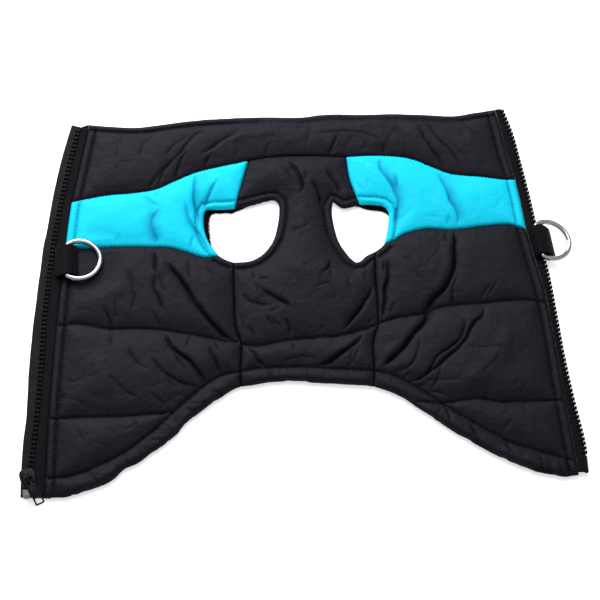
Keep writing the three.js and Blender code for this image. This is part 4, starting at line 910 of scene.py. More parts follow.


# Each nylon: low and high colour, roughness, specular level, the painted shade colour multiplied in at
# folds, grooves and puckers, grain range and crumple
BLACK = nylon(
    "black_nylon", (0.0070, 0.0067, 0.0102), (0.0102, 0.0095, 0.0146), 0.5, 0.045,
    (0.10, 0.10, 0.12), 0.28, 0.85)
CYAN = nylon(
    "cyan_nylon", (0.0020, 0.45, 0.62), (0.0030, 0.50, 0.69), 0.6, 0.08,
    (0.004, 0.40, 0.52), 0.10, 0.3)
FLEECE = fleece_material()
GUARD = ribbed("guard_cloth", (0.004, 0.004, 0.005), (0.017, 0.017, 0.019), 0.7, 0.7, "X", 0.12)
TAPE = ribbed("zip_tape", (0.003, 0.003, 0.004), (0.006, 0.006, 0.007), 0.75, 0.8, "Y", 0.22)
WEBBING = ribbed("webbing", (0.002, 0.002, 0.003), (0.005, 0.005, 0.006), 0.7, 1.0, "Y", 0.3)
TEETH_PLASTIC = plastic("zip_plastic", (0.002, 0.002, 0.003), 0.42, specular=0.05)
GLOSS_PLASTIC = plastic("pull_plastic", (0.002, 0.002, 0.003), 0.3, specular=0.1)
GREY_PLASTIC = plastic("box_plastic", (0.10, 0.10, 0.105), 0.3)
BLACK_THREAD = plastic("black_thread", (0.003, 0.003, 0.004), 0.7, specular=0.05)
CYAN_THREAD = plastic("cyan_thread", (0.001, 0.20, 0.28), 0.7, specular=0.05)
STEEL = chrome()


# Panels

# The groove along each kind of stitched line: its depth, and how far the painted shade along it reaches
GROOVE_DIP = {"seam": 1.0, "row": 1.0, "hem": 1.0, "top": 1.05}
GROOVE_DARK = {"seam": 0.6, "row": 0.6, "hem": 0.6, "top": 0.95}
GROOVE_WIDTH = 0.8
GROOVE_SHADE = 0.65
PULL_EVERY = 2.4
PULL_DEPTH = 0.25

# Puckers that run in from each kind of stitched line: depth, reach and length
PUCKERS = {
    "seam": (0.6, 4.0, 4.6), "row": (0.8, 4.5, 5.6), "hem": (1.0, 5.0, 4.4), "top": (0.3, 2.2, 3.6),
}
PUCKER_SLANT = 0.45
# Strength of the painted shade in the puckers
PUCKER_SHADE = 0.55

# Where the neck's edge rolls over and hides its topstitching, from end to end
ROLLED_FROM = (-48, -30)
ROLLED_TO = (105, 122)
ROLLED_FADE = 0.8

# Padding: how it rises from the stitches, its hills (height, size, seed) and faint wrinkles, with painted
# shade in them
SOFT_POWER = 3.5
SOFT_BASE = 0.8
FULL_PUFF = 9
LOWEST_TOP = STITCH_TOP - 1.9
HILLS = [(0.5, 24, 3), (0.30, 11, 4)]
FAINT = {"depth": 0.5, "size": 13, "thin": 9, "patch": 30, "shade": 0.25}
RIPPLE = 0.12

# The gathered casing at the hem, with painted shade in its pleats
CASING = {
    "width": 7.5, "slant": 0.12, "wave": 0.5, "pleat": 0.8, "pleat_size": 3.4, "pleat_slant": 0.5,
    "thin": 6, "patch": 15, "shade": 0.5,
}

# The section of a crease, in its own half widths, and how it runs out at its ends
CREASE = {
    "step": 1.5, "stray": 0.35, "seed": 200, "near": 6, "taper": 10.0, "taper_share": 0.42,
    "end_width": 0.5, "steep": 0.5, "gentle": 1.6, "round": 0.2, "sharp_share": 0.38,
}
SHARP_WIDTH = 0.75
LIP_WIDTH = 1.2
ONE_SIDED_LIP = (0.10, 2.0)
EVEN_LIP = (0.03, 2.4)
# How much painted pucker shade the cyan panels take; their creases get a broad, soft painted shade
CYAN_CALM = 0.35

PANEL_INSET = 0.05
EDGE_BULGE = 0.4


class Panel:
    """A padded panel: its outline, its stitches, and the height of its outer face."""

    def __init__(self, name, spec):
        self.name, self.spec = name, spec
        self.loop, self.names, self.area = around(spec["around"])
        self.calm = CYAN_CALM if spec["slot"] == "cyan_nylon" else 1.0
        self.creases = []
        for number, (depth, width, side, path) in enumerate(CREASES[name]):
            line = curve(path, CREASE["step"])
            along = lengths(line)
            stray = CREASE["stray"] * width * noise(along, 0 * along, 7, CREASE["seed"] + number)
            self.creases.append((depth, width, side, moved(line, stray)))
        self.stitched = []
        self.tops = {}
        for line in spec["around"]:
            key = line.strip("-")
            if key not in spec["turned"] and key != spec["hem"]:
                self.stitched.append((key, "seam", coarse[key]))
        for key, inset in spec["turned"].items():
            for sign in (1, -1):
                top = moved(coarse[key], sign * inset)
                if inside(top[len(top) // 2][None], [self.loop])[0]:
                    self.tops[key] = moved(fine[key], sign * inset)
                    self.stitched.append((key, "top", top))
        for key in spec["rows"]:
            kind = "hem" if key.startswith("hem") else "row"
            self.stitched.append((key, kind, curve(QUILTING[key], COARSE)))
        self.free = [coarse[key] for key in spec["turned"]]
        if spec["hem"]:
            self.free.append(coarse[spec["hem"]])

    def stitching(self, points):
        """For each point: its way from the stitches, how low they make the cloth, and the painted shade of
        its grooves and puckers.
        """
        stitched, dips, shade = 0, 0, 0
        for key, kind, line in self.stitched:
            away, along, side = nearest(points, line)
            stitched = stitched + (away + SOFT_BASE) ** -SOFT_POWER
            depth, reach, length = PUCKERS[kind]
            seed = sum(map(ord, key)) % 97
            slant = along + PUCKER_SLANT * away * noise(along, side * 9, 30, seed)
            waves = noise(slant, side * (9 + away * 0.25), length, seed + 1)
            strength = np.maximum(0, 0.45 + 0.75 * noise(along, side * 7, 13, seed + 2))
            tick = strength * np.exp(-away / reach)
            dips = dips + depth * tick * (1 - np.abs(waves)) ** 4
            # Painted shade in the pucker troughs
            shade = shade + PUCKER_SHADE * self.calm * tick * (1 - np.abs(waves)) ** 8
            groove = GROOVE_DIP[kind]
            if key == "neck":
                x = points[:, 0]
                rolled = smooth(*ROLLED_FROM, x) * (1 - smooth(*ROLLED_TO, x))
                groove = groove * (1 - ROLLED_FADE * rolled)
            pull = 1 - PULL_DEPTH + PULL_DEPTH * np.cos(2 * math.pi * along / PULL_EVERY)
            dips = dips + groove * pull * np.exp(-((away / GROOVE_WIDTH) ** 2))
            # Painted shade along the stitched groove
            dark = np.exp(-((away / GROOVE_DARK[kind]) ** 2))
            shade = shade + GROOVE_SHADE * groove * pull * dark
        soft = np.maximum(0, stitched ** (-1 / SOFT_POWER) - SOFT_BASE)
        return soft, dips, shade

    def casing(self, points):
        """How far the elastic's waves and pleats lift each point, and the painted shade in its pleats."""
        away, along, _ = nearest(points, coarse[self.spec["hem"]])
        number = list(LINES).index(self.spec["hem"])
        band = np.exp(-((away / CASING["width"]) ** 4))
        waves = gather(along + CASING["slant"] * away, HEM_SEED + number)
        ridges = noise(
            along + CASING["pleat_slant"] * away, 0 * away, CASING["pleat_size"], PLEAT_SEED + number)
        pleat = (1 - np.abs(ridges)) ** CASING["thin"]
        pleat = pleat * smooth(-0.4, 0.5, noise(along, 0 * along, CASING["patch"], PATCH_SEED + number))
        wave = CASING["wave"] * waves - CASING["wave"] * (1 - np.abs(waves)) ** 4
        # The second value is the painted shade in the pleats
        return band * (wave - CASING["pleat"] * pleat), band * CASING["shade"] * pleat

    def surface(self, points):
        """Height of the outer face above what the vest lies on, and the painted shade that its folds,
        grooves and puckers get.
        """
        x, y = points.T
        soft, dips, shade = self.stitching(points)
        top = STITCH_TOP + self.spec["rise"] * (1 - np.exp(-soft / PUFF_REACH)) - dips
        swell = smooth(0, FULL_PUFF, soft)
        top = top + swell * sum(rise * noise(x, y, size, seed) for rise, size, seed in HILLS)
        faint = (1 - np.abs(noise(x, y, FAINT["size"], 11))) ** FAINT["thin"]
        faint = faint * smooth(0.0, 0.6, noise(x, y, FAINT["patch"], 12))
        top = top - swell * (FAINT["depth"] * faint + RIPPLE * noise(x, y, 4.0, 5))
        # Painted shade in the faint wrinkles
        shade = shade + FAINT["shade"] * swell * faint ** 2
        for depth, width, side, line in self.creases:
            low = line.min(0) - CREASE["near"] * width
            high = line.max(0) + CREASE["near"] * width
            near = np.all((points > low) & (points < high), 1)
            if near.any():
                drop, dark = self.crease(points[near], depth, width, side, line)
                top[near] -= drop
                shade[near] += dark
        if self.spec["hem"]:
            lift, dark = self.casing(points)
            top = top + lift
            shade = shade + dark
        for rest_x, rest_y, radius, rest_top in RESTS:
            apart = np.hypot(x - rest_x, y - rest_y)
            pressed = 1 - smooth(radius, radius + REST_FADE, apart)
            top = top - pressed * np.maximum(0, top - rest_top)
        top = np.maximum(top, LOWEST_TOP)
        edge = np.min([nearest(points, line)[0] for line in self.free], axis=0)
        height = FREE_EDGE_TOP + (top - FREE_EDGE_TOP) * (1 - np.exp(-edge / EDGE_REACH))
        return height, np.clip(shade, 0, 1)

    def crease(self, points, depth, width, side, line):
        """How far one crease lowers each point, and the painted shade in it."""
        away, along, sign = nearest(points, line)
        total = lengths(line)[-1]
        taper = min(CREASE["taper"], CREASE["taper_share"] * total)
        ends = smooth(-0.5, taper, np.minimum(along, total - along))
        narrow = CREASE["end_width"] + (1 - CREASE["end_width"]) * ends
        signed = away * sign / (width * narrow)
        if side:
            signed = signed * side
            shape = np.where(signed > 0, signed / CREASE["steep"], -signed / CREASE["gentle"])
            lip = ONE_SIDED_LIP[0] * np.exp(-(((signed - ONE_SIDED_LIP[1]) / LIP_WIDTH) ** 2))
        else:
            shape = np.abs(signed)
            lip = EVEN_LIP[0] * np.exp(-(((shape - EVEN_LIP[1]) / LIP_WIDTH) ** 2))
        if depth < 0:
            return depth * ends * np.exp(-(shape ** 2)), 0
        soft = np.exp(CREASE["round"] - np.hypot(shape, CREASE["round"]))
        sharp = np.exp(-((away / SHARP_WIDTH) ** 2))
        uneven = 0.82 + 0.18 * noise(along, 0 * along, 12, 23)
        trough = (1 - CREASE["sharp_share"]) * soft + CREASE["sharp_share"] * sharp
        # Painted shade in the crease: on cyan a soft band with a faint line, on black a dark line with a
        # soft spread
        if self.calm < 1:
            dark = 0.3 * min(1.0, depth / 2.4) * sharp
            dark = dark + 0.8 * min(1.0, depth / 2.0) * np.exp(-(shape ** 2))
        else:
            dark = min(1.0, 0.22 + depth / 3.2) * sharp + 0.35 * min(1.0, depth / 4) * soft ** 2
        return depth * ends * uneven * (trough - lip), ends * uneven * dark

    def build(self):
        """The panel as one closed body, with a flat underside."""
        loop = moved(self.loop, PANEL_INSET, True)
        rows = [stitch_rows[key] for key in self.spec["rows"]] + list(self.tops.values())
        rows += [curve(line, FINE) for _, _, _, line in self.creases]
        points, runs = filled([loop], FINE, rows)
        top, shade = self.surface(points)
        free = {*self.spec["turned"], self.spec["hem"]}
        bulge = np.array([EDGE_BULGE if key in free else 0.0 for key in self.names])
        bulge = -normals(loop, True) * bulge[:, None]
        look = CYAN if self.spec["slot"] == "cyan_nylon" else BLACK
        piece = shell(self.name + "_cloth", points, runs, top, PANEL_BOTTOM, look, bulge)
        # The painted shade of folds, grooves and puckers, kept on the mesh for the nylon to darken its
        # colour by
        painted_shade = piece.data.attributes.new("shade", "FLOAT", "POINT")
        values = np.zeros(len(piece.data.vertices))
        values[:len(shade)] = shade
        painted_shade.data.foreach_set("value", values)
        dress(piece, self.spec["slot"], self.name)


def dress(piece, slot, *nodes, body="garment"):
    """Lets a piece ride on a body and stand for nodes, which it hides. The slot is not used."""
    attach(piece, body)
    if nodes:
        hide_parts(*nodes)


panels = {name: Panel(name, spec) for name, spec in PANELS.items()}
for panel in panels.values():
    panel.build()


# Lining, with a soft nap at the rims of the leg openings

zip_left = joined(fine["zipLeftBand"], fine["zipLeftYoke"], fine["zipLeftSide"])
zip_right = joined(fine["zipRightBand"], fine["zipRightYoke"], fine["zipRightSide"])

LINING_STEP = 4.0
RIM = {"stray": 0.35, "size": 2.6, "seed": 30, "drop": 0.5, "reach": 0.8}
NAP = {
    "rows": 6, "lean": 0.9, "short": 0.5, "long": 1.5, "stray": 0.6, "low": 0.4, "high": 1.8,
    "lift": 0.5, "lowest": 0.15, "radius": 0.12, "root": 0.3,
}


def trimmed(line):
    """A line without the few points at each end that would cross its neighbours."""
    return line[3:-3]


def build_lining():
    """One flat layer of fleece under every panel, with openings for the front legs."""
    hem = joined(fine["hemLeft"][::-1], fine["hemMiddle"], fine["hemRight"])
    outline = np.vstack([
        trimmed(moved(fine["neck"], -LINING_IN)),
        trimmed(moved(zip_right, -LINING_IN)),
        trimmed(moved(hem, LINING_IN))[::-1],
        trimmed(moved(zip_left, LINING_LEFT_IN))[::-1],
    ])
    holes = []
    for number, hole in enumerate(LINING_HOLES):
        rim = curve(hole, FINE, closed=True)
        along = np.arange(len(rim)) * FINE
        stray = RIM["stray"] * noise(along, 0 * along, RIM["size"], RIM["seed"] + number)
        holes.append(moved(rim, stray, True))
    loops = outward_walls([outline, *holes])
    points, runs = filled(loops, LINING_STEP)
    rim = np.min([nearest(points, np.vstack([hole, hole[:1]]))[0] for hole in holes], axis=0)
    top = LINING_THICKNESS - RIM["drop"] * np.exp(-rim / RIM["reach"])
    piece = shell("lining_fleece", points, runs, top, 0.0, FLEECE)
    dress(piece, "fleece", "lining")
    build_nap(holes)


def build_nap(holes):
    """Short fibres that stand out from the lining's rims."""
    random = np.random.RandomState(5)
    stray, radius, root = NAP["stray"], NAP["radius"], NAP["root"]
    points, faces = [], []
    for hole in holes:
        inward = normals(hole, True) * np.sign(signed_area(hole))
        for _ in range(NAP["rows"]):
            for (x, y), (nx, ny) in zip(hole, inward):
                lean = random.uniform(-NAP["lean"], NAP["lean"])
                reach = random.uniform(NAP["short"], NAP["long"])
                x0 = x + random.uniform(-stray, stray)
                y0 = y + random.uniform(-stray, stray)
                z = random.uniform(NAP["low"], NAP["high"])
                tip_z = max(NAP["lowest"], z + random.uniform(-NAP["lift"], NAP["lift"]))
                first = len(points)
                for k in range(3):
                    turn = 2 * math.pi * k / 3
                    side = radius * math.cos(turn)
                    points.append((
                        x0 - root * nx + side * ny, y0 - root * ny + side * nx, z + radius * math.sin(turn)))
                points.append((x0 + reach * (nx - lean * ny), y0 + reach * (ny + lean * nx), tip_z))
                faces += [(first, first + 1, first + 3), (first + 1, first + 2, first + 3),
                          (first + 2, first, first + 3), (first + 2, first + 1, first)]
    dress(add_mesh("lining_nap", points, faces, FLEECE), "fleece")


build_lining()


# Zip: guard flap, tapes, teeth, pin, box, slider and pull

GUARD_TOP = 1.15


def strip(name, inner, outer, top_of, bottom, look, step):
    """A flat woven strip between two lines that run the same way."""
    loop = outward_walls([np.vstack([inner, outer[::-1]])])
    points, runs = filled(loop, step)
    from_inner, from_outer = nearest(points, inner)[0], nearest(points, outer)[0]
    top = top_of(points, from_inner / (from_inner + from_outer))
    return shell(name, points, runs, top, bottom, look), signed_area(loop[0])


def build_guard():
    """The thin flap under the left tape, with uneven waves and a rolled outer edge."""
    inner = moved(zip_left, LINING_LEFT_IN - GAP)[3:]
    outer = curve(GUARD_EDGE, FINE)
    along = lengths(outer)
    outer = moved(outer, 0.45 * noise(along, 0 * along, 14, 61))

    def top(points, across):
        x, y = points.T
        waves = 0.22 * noise(x, y, 9, 62) + 0.2 * noise(y, 0 * y, 22, 63)
        roll = 0.25 * np.exp(-(((across - 0.93) / 0.05) ** 2))
        groove = 0.25 * np.exp(-(((across - 0.80) / 0.04) ** 2))
        return GUARD_TOP + waves + (roll - groove)
    piece, area = strip("guard_flap", inner, outer, top, 0.0, GUARD, 1.8)
    dress(piece, "guard_cloth", "zip_guard")


def build_tape(side):
    """A ribbed tape from the panels' edge to the teeth, with a bead along its outer edge."""
    zip_edge = zip_left if side == "left" else zip_right
    sign = 1 if side == "left" else -1
    teeth = curve([*TEETH[side], TAPE_FOOT[side]], FINE)
    inner = moved(zip_edge, -sign * GAP)[:-2]
    outer = moved(teeth, -sign * 0.4)

    def top(points, across):
        ribs = 0.10 * np.cos(across * 2 * math.pi * 5)
        bead = 0.35 * np.exp(-(((across - 0.96) / 0.06) ** 2))
        return TAPE_TOP - 0.1 + ribs + bead
    piece, area = strip("tape_" + side, inner, outer, top, TAPE_BOTTOM, TAPE, FINE)
    dress(piece, "zip_tape", "zip_tape_" + side)


def build_teeth(side):
    """A moulded tooth, repeated along the tape's edge with its head outward."""
    half = [(-1.6, 0.95), (-0.2, 0.95), (0.1, 0.62), (0.75, 0.62), (1.05, 1.02), (1.6, 0.9)]
    outline = [(x, -y) for x, y in half] + [(1.75, 0.0)] + half[::-1]
    outline = curve(outline, 0.42, closed=True)
    one_points, one_faces = slab([outline], TEETH_BOTTOM, TEETH_TOP, 0.28, 2)
    line = curve(TEETH[side], 0.5)
    along = lengths(line)
    outward = normals(line) * (-1 if side == "left" else 1)
    parts = []
    for place in np.arange(TOOTH_PITCH / 2, along[-1] - 0.6, TOOTH_PITCH):
        x, y = (np.interp(place, along, line[:, k]) for k in (0, 1))
        ux, uy = (np.interp(place, along, outward[:, k]) for k in (0, 1))
        turned = one_points.copy()
        turned[:, 0] = x + one_points[:, 0] * ux - one_points[:, 1] * uy
        turned[:, 1] = y + one_points[:, 0] * uy + one_points[:, 1] * ux
        parts.append((turned, one_faces))
    piece = add_mesh("teeth_" + side, *gathered(parts), TEETH_PLASTIC)
    dress(piece, "zip_plastic", "zip_teeth_" + side)


def rectangle(x0, x1, y0, y1, corner):
    """A rectangle with rounded corners, anticlockwise."""
    points = []
    for cx, cy, start in ((x1 - corner, y1 - corner, 0), (x0 + corner, y1 - corner, 1),
                          (x0 + corner, y0 + corner, 2), (x1 - corner, y0 + corner, 3)):
        for k in range(5):
            turn = (start + k / 4) * math.pi / 2
            points.append((cx + corner * math.cos(turn), cy + corner * math.sin(turn)))
    return np.array(points)


def placed(points, x, y, turn):
    """Points turned about Z and moved to x, y."""
    out = points.copy()
    out[:, 0] = x + points[:, 0] * math.cos(turn) - points[:, 1] * math.sin(turn)
    out[:, 1] = y + points[:, 0] * math.sin(turn) + points[:, 1] * math.cos(turn)
    return out


def build_pin_and_box():
    """The insertion pin at the right tape's foot and the retaining box at the left one's."""
    half = PIN["width"] / 2
    pin = slab([rectangle(PIN["x"] - half, PIN["x"] + half, PIN["bottom"], PIN["top"], 0.7)],
               TEETH_BOTTOM, TEETH_BOTTOM + PIN["width"], 0.5)
    dress(add_mesh("pin_moulded", *pin, TEETH_PLASTIC), "zip_plastic", "insertion_pin")
    width, length = BOX["width"] / 2, BOX["length"] / 2
    body = slab([rectangle(-width, width, -length, length, 0.9)], BOX["bottom"], BOX["top"] - 0.3, 0.5)
    lid = slab([rectangle(-width + 0.8, width - 0.8, -length + 0.9, length - 0.9, 0.6)],
               BOX["top"] - 0.5, BOX["top"], 0.2)
    points, faces = gathered([body, lid])
    points = placed(points, BOX["x"], BOX["y"], 0.06)
    dress(add_mesh("box_moulded", points, faces, GREY_PLASTIC), "zip_plastic", "retaining_box")


def build_slider():
    """Two plates joined by a wedge, with side flanges, ribs on top and a bridge for the pull."""
    half, front, rear = SLIDER["length"] / 2, SLIDER["front"], SLIDER["rear"]
    outline = curve([
        (0, half), (front * 0.75, half * 0.93), (front, half * 0.45), (front * 0.86, -half * 0.2),
        (rear, -half * 0.85), (rear * 0.6, -half), (-rear * 0.6, -half), (-rear, -half * 0.85),
        (-front * 0.86, -half * 0.2), (-front, half * 0.45), (-front * 0.75, half * 0.93)], 0.6, True)
    low = SLIDER["bottom"]
    under = low + SLIDER["plate"]
    over = under + SLIDER["channel"]
    top = over + SLIDER["top_plate"]
    parts = [slab([outline], low, under, 0.3), slab([outline], over, top, 0.45)]
    wedge = curve([(0, half * 0.3), (1.3, half * 0.62), (0.9, half * 0.95), (-0.9, half * 0.95),
                   (-1.3, half * 0.62)], 0.4, True)
    parts.append(slab([wedge], under - 0.1, over + 0.1, 0.05))
    for side in (-1, 1):
        waist = front * 0.86
        flange = np.array([
            (side * (front - 0.75), half * 0.62), (side * (front - 0.05), half * 0.5),
            (side * (waist - 0.1), -half * 0.2), (side * (rear - 0.1), -half * 0.85),
            (side * (rear - 0.8), -half * 0.85), (side * (waist - 0.8), -half * 0.2)])
        flange = curve(flange if side > 0 else flange[::-1], 0.5, True)
        parts.append(slab([flange], over - 0.6, over + 0.2, 0.1))
        parts.append(slab([flange], under - 0.2, under + 0.6, 0.1))
        rib = rectangle(side * 2.6 - 0.5, side * 2.6 + 0.5, -half * 0.55, half * 0.6, 0.45)
        parts.append(slab([rib], top - 0.2, top + 0.35, 0.25))
    parts.append(bridge(top))
    points, faces = gathered(parts)
    points = placed(points, SLIDER["x"], SLIDER["y"], SLIDER["turn"])
    dress(add_mesh("slider_moulded", points, faces, GLOSS_PLASTIC), "zip_plastic", "slider")


def bridge(base):
    """The arch that holds the pull's end bar: a rounded bar swept over it."""
    rows = [(-3.7, -0.3), (-3.75, 1.4), (-3.1, 2.9), (-1.6, 3.5), (0, 3.6), (1.6, 3.5), (3.1, 2.9),
            (3.75, 1.4), (3.7, -0.3)]
    path = curve(rows, 0.45)
    side = normals(path)
    points, sides = [], 10
    for (v, z), (nv, nz) in zip(path, side):
        for k in range(sides):
            turn = 2 * math.pi * k / sides
            reach = 0.6 * math.sin(turn)
            points.append((0.8 * math.cos(turn), v + reach * nv, base + z + reach * nz))
    faces = tube_faces(len(path), sides)
    faces.append(tuple(range(sides))[::-1])
    faces.append(tuple((len(path) - 1) * sides + k for k in range(sides)))
    return np.array(points), faces


def build_pull():
    """The pull tab: an end bar, an eye, a solid web with a raised rim, and a window."""
    half, back, length = PULL["half"], PULL["back"], PULL["length"]
    thick = PULL["thickness"] / 2
    eye_near, eye_far, eye_half = PULL["eye"]
    window_near, window_far, window_half = PULL["window"]
    outline = rectangle(-half, half, -length, back, 0.9)
    eye = rectangle(-eye_half, eye_half, -eye_far, -eye_near, 0.6)
    window = rectangle(-window_half, window_half, -window_far, -window_near, 0.4)
    parts = [slab([outline, eye, window], -thick, thick, 0.3)]
    lip = rectangle(-half + 0.7, half - 0.7, -window_near + 0.5, -eye_far - 0.5, 0.4)
    inner = rectangle(-half + 1.4, half - 1.4, -window_near + 1.2, -eye_far - 1.2, 0.3)
    parts.append(slab([lip, inner], thick - 0.1, thick + 0.25, 0.1))
    points, faces = gathered(parts)
    drop = PULL["drop"]
    y, z = points[:, 1].copy(), points[:, 2].copy()
    points[:, 1] = y * math.cos(drop) - z * math.sin(drop)
    points[:, 2] = y * math.sin(drop) + z * math.cos(drop)
    top = SLIDER["bottom"] + SLIDER["plate"] + SLIDER["channel"] + SLIDER["top_plate"]
    points = placed(points, SLIDER["x"], SLIDER["y"], PULL["turn"])
    points[:, 2] += top + PULL["hinge"]
    dress(add_mesh("pull_moulded", points, faces, GLOSS_PLASTIC), "pull_plastic", "pull", body="pull")


build_guard()
for side in ("left", "right"):
    build_tape(side)
    build_teeth(side)
build_pin_and_box()
build_slider()
build_pull()


# Webbing loops and D-rings


def in_holder(points, loop):
    """Points of a loop (along the strap, across it, height), in the vest's plan."""
    return placed(points, loop["x"], loop["y"], loop["turn"])


STRAP = {"steps": 97, "rib": 0.11, "rib_every": 1.55, "rib_low": 0.05, "edge": 0.22, "edge_reach": 0.4}


def build_webbing(side):
    """A ribbed strap folded into a loop: its outer and inner face, closed along both edges."""
    loop = LOOPS[side]
    count = STRAP["steps"]
    across = np.linspace(-WEBBING_WIDTH / 2, WEBBING_WIDTH / 2, count)
    ribs = STRAP["rib"] * np.abs(np.sin(across * math.pi / STRAP["rib_every"])) - STRAP["rib_low"]
    from_edge = WEBBING_WIDTH / 2 - np.abs(across)
    ribs = ribs - STRAP["edge"] * np.exp(-from_edge / STRAP["edge_reach"])
    parts, rims = [], []
    for section, sign in zip(STRAPS[side], (1, -1)):
        section = curve(section, 0.55, closed=True)
        section = section if signed_area(section) > 0 else section[::-1]
        outward = -normals(section, True)
        rings = []
        for v, rib in zip(across, ribs):
            ring = section + sign * outward * rib
            rings.append(np.column_stack([ring[:, 0], np.full(len(ring), v), ring[:, 1]]))
        faces = tube_faces(count, len(section))
        parts.append((np.vstack(rings), flipped(faces) if sign > 0 else faces))
        rims.append(section)
    points, faces = gathered(parts)
    first_inner = len(parts[0][0])
    caps = triangles(np.vstack(rims), numbered(rims))
    for end, outside in ((0, False), (count - 1, True)):
        numbers = [end * len(rims[0]) + k for k in range(len(rims[0]))]
        numbers += [first_inner + end * len(rims[1]) + k for k in range(len(rims[1]))]
        lid = [tuple(numbers[k] for k in face) for face in caps]
        faces += flipped(lid) if outside else lid
    piece = add_mesh("strap_" + side, in_holder(points, loop), faces, WEBBING)
    dress(piece, "webbing", "webbing_" + side)


def build_ring(side):
    """A D-ring of round wire: a straight bar, two tight corners and an oval bow."""
    loop = LOOPS[side]
    long, corner, bend = RING["bar"], RING["corner"], RING["bend"]
    path = []

    def arc(u, v, radius, start, end, steps):
        for k in range(steps + 1):
            turn = start + (end - start) * k / steps
            path.append((u + radius * math.cos(turn), v + radius * math.sin(turn)))
    arc(corner, -long, corner, math.pi, math.pi + bend, 12)
    open_end = math.acos((corner * (1 - math.cos(bend)) - RING["centre"]) / RING["deep"])
    for turn in np.linspace(-open_end, open_end, 82)[1:-1]:
        path.append((RING["centre"] + RING["deep"] * math.cos(turn), RING["half"] * math.sin(turn)))
    arc(corner, long, corner, math.pi - bend, math.pi, 12)
    bar = np.linspace(long, -long, 22)[1:-1]
    path += [(0, v) for v in bar]
    path = np.array(path)
    outward = -normals(path, True)
    sides = 24
    points = []
    for (u, v), (nu, nv) in zip(path, outward):
        swell = RING["swell"] * smooth(0, RING["swell_over"], u - corner)
        wire = RING["wire"] + swell
        for k in range(sides):
            turn = 2 * math.pi * k / sides
            reach = swell + wire * math.cos(turn)
            points.append((u + reach * nu, v + reach * nv, wire * math.sin(turn)))
    faces = flipped(tube_faces(len(path), sides, closed=True))
    points = np.array(points)
    bar_u, bar_z = loop["bar"]
    tilt = loop["tilt"]
    u, z = points[:, 0].copy(), points[:, 2].copy()
    points[:, 0] = bar_u + u * math.cos(tilt) + z * math.sin(tilt)
    points[:, 2] = bar_z + z * math.cos(tilt) - u * math.sin(tilt)
    piece = add_mesh("d_ring_" + side, in_holder(points, loop), faces, STEEL)
    dress(piece, "ring_steel", "ring_" + side, body="ring_" + side)


for side in ("left", "right"):
    build_webbing(side)
    build_ring(side)


# Stitches

STITCH = {"length": 2.1, "gap": 1.0}
SIDE_STITCH = {"length": 1.3, "gap": 1.2, "inset": 0.75}
THREAD_LIFT = 0.08
THREAD_RADIUS = 0.2
THREAD_SIDES = 6

# Along one stitch: how far the thread sinks in, and its thickness in radii
THREAD_SAG = np.array([-0.25, 0.0, 0.05, 0.0, -0.25])
THREAD_SWELL = np.array([0.35, 0.95, 1.0, 0.95, 0.35])


def stitches_on(panel, line, stitch):
    """Short threads laid end to end along a line, at the height of the panel's face."""
    along = lengths(line)
    pace = stitch["length"] + stitch["gap"]
    count = len(THREAD_SAG)
    starts = np.arange(pace / 2, along[-1] - pace, pace)
    places = (starts[:, None] + np.linspace(0, 1, count)[None] * stitch["length"]).ravel()
    spots = np.stack([np.interp(places, along, line[:, k]) for k in (0, 1)], 1)
    keep = inside(spots, [panel.loop]).reshape(-1, count).all(1)
    top = panel.surface(spots)[0] + THREAD_LIFT
    threads = np.column_stack([spots, top]).reshape(-1, count, 3)[keep]
    faces = tube_faces(count, THREAD_SIDES)
    faces += [tuple(range(THREAD_SIDES))[::-1]]
    faces += [tuple(range((count - 1) * THREAD_SIDES, count * THREAD_SIDES))]
    parts = []
    for thread in threads:
        ahead = thread[-1] - thread[0]
        ahead = ahead / np.linalg.norm(ahead)
        left = np.cross((0, 0, 1), ahead)
        up = np.cross(ahead, left)
        rings = []
        for centre, lift, radius in zip(thread, THREAD_SAG, THREAD_SWELL * THREAD_RADIUS):
            for k in range(THREAD_SIDES):
                turn = 2 * math.pi * k / THREAD_SIDES
                rise = lift + radius * math.sin(turn)
                rings.append(centre + up * rise + left * radius * math.cos(turn))
        parts.append((np.array(rings), faces))
    return parts


def build_stitches():
    """Topstitching and quilting in each panel's own thread, and short stitches by the side seams."""
    for slot, thread in (("black_nylon", BLACK_THREAD), ("cyan_nylon", CYAN_THREAD)):
        parts = []
        for panel in panels.values():
            if panel.spec["slot"] != slot:
                continue
            for key in panel.spec["rows"]:
                parts += stitches_on(panel, stitch_rows[key], STITCH)
            for line in panel.tops.values():
                parts += stitches_on(panel, line, STITCH)
            if panel.name == "chest":
                for key, sign in (("sideLeft", 1), ("sideRight", -1)):
                    line = moved(fine[key], sign * SIDE_STITCH["inset"])
                    parts += stitches_on(panel, line, SIDE_STITCH)
        dress(add_mesh("stitches_" + slot, *gathered(parts), thread), slot)


build_stitches()


# Floor, light and camera


FLOOR_SIZE = 3.0
FLOOR_GLOW = 0.5
WALL_LIGHT = 0.12
CEILING_LIGHT = 0.62
CEILING_FROM = 0.75

# Area lights, in metres and watts
LIGHTS = {
    "key": {"at": (-0.3, 0.75, 0.5), "aim": (0, 0.1, 0), "size": (0.9, 0.35), "power": 12.5},
    "top": {"at": (0.05, 0.6, 1.2), "aim": (0, 0.12, 0), "size": (1.0, 0.8), "power": 9},
}

# The camera aims at a point of the vest's plan, from a height angle and a distance in metres
CAMERA = {
    "aim": (-1.0, 5.0, 5.0), "elevation": 63.0, "azimuth": -2.6, "distance": 1.55,
    "lens": 140, "sensor": 36, "clip_end": 20,
}


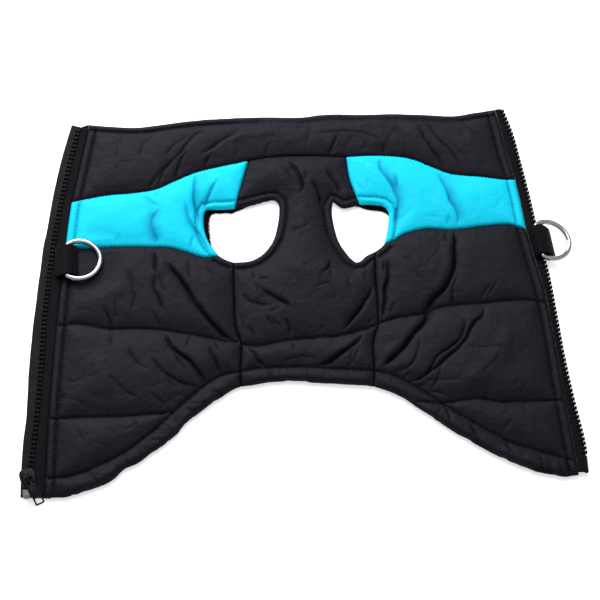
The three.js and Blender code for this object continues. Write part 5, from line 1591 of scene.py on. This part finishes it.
def build_floor():
    """A pale floor that glows a little, as a cut-out's white ground does."""
    mesh = bpy.data.meshes.new("floor")
    corners = [(x * FLOOR_SIZE, y * FLOOR_SIZE, 0) for x, y in ((-1, -1), (1, -1), (1, 1), (-1, 1))]
    mesh.from_pydata(corners, [], [(0, 1, 2, 3)])
    pale = material("floor", (0.9, 0.9, 0.9), 0.9)
    shader = shader_of(pale)
    shader.inputs["Emission Color"].default_value = (1, 1, 1, 1)
    shader.inputs["Emission Strength"].default_value = FLOOR_GLOW
    mesh.materials.append(pale)
    floor = bpy.data.objects.new("floor", mesh)
    bpy.context.scene.collection.objects.link(floor)


def build_sky():
    """Soft light all round: a pale ceiling over darker walls."""
    world = bpy.data.worlds.new("world")
    bpy.context.scene.world = world
    world.use_nodes = True
    nodes, links = world.node_tree.nodes, world.node_tree.links
    place = nodes.new("ShaderNodeTexCoord")
    parts_of = nodes.new("ShaderNodeSeparateXYZ")
    ramp = nodes.new("ShaderNodeValToRGB")
    wall, ceiling = ramp.color_ramp.elements
    wall.position, ceiling.position = 0.0, CEILING_FROM
    wall.color = (*[WALL_LIGHT] * 3, 1)
    ceiling.color = (*[CEILING_LIGHT] * 3, 1)
    links.new(place.outputs["Generated"], parts_of.inputs["Vector"])
    links.new(parts_of.outputs["Z"], ramp.inputs["Fac"])
    links.new(ramp.outputs["Color"], nodes["Background"].inputs["Color"])


def build_lights():
    """A soft key light from beyond the neck, and one overhead."""
    for name, spec in LIGHTS.items():
        lamp = bpy.data.lights.new(name, "AREA")
        lamp.shape = "RECTANGLE"
        lamp.size, lamp.size_y = spec["size"]
        lamp.energy = spec["power"]
        holder = bpy.data.objects.new(name, lamp)
        bpy.context.scene.collection.objects.link(holder)
        holder.location = spec["at"]
        ahead = Vector(spec["aim"]) - Vector(spec["at"])
        holder.rotation_euler = ahead.to_track_quat("-Z", "Y").to_euler()


def build_camera():
    """A long lens that looks down on the vest from beyond its hem."""
    lens = bpy.data.cameras.new("camera")
    lens.lens = CAMERA["lens"]
    lens.sensor_width = CAMERA["sensor"]
    lens.clip_end = CAMERA["clip_end"]
    camera = bpy.data.objects.new("camera", lens)
    bpy.context.scene.collection.objects.link(camera)
    up, turn = math.radians(CAMERA["elevation"]), math.radians(CAMERA["azimuth"])
    away = Vector((math.sin(turn) * math.cos(up), -math.cos(turn) * math.cos(up), math.sin(up)))
    camera.location = Vector(to_frame([CAMERA["aim"]])[0]) + away * CAMERA["distance"]
    camera.rotation_euler = (-away).to_track_quat("-Z", "Y").to_euler()
    bpy.context.scene.camera = camera


build_floor()
build_sky()
build_lights()
build_camera()
bpy.context.scene.view_settings.view_transform = "Standard"
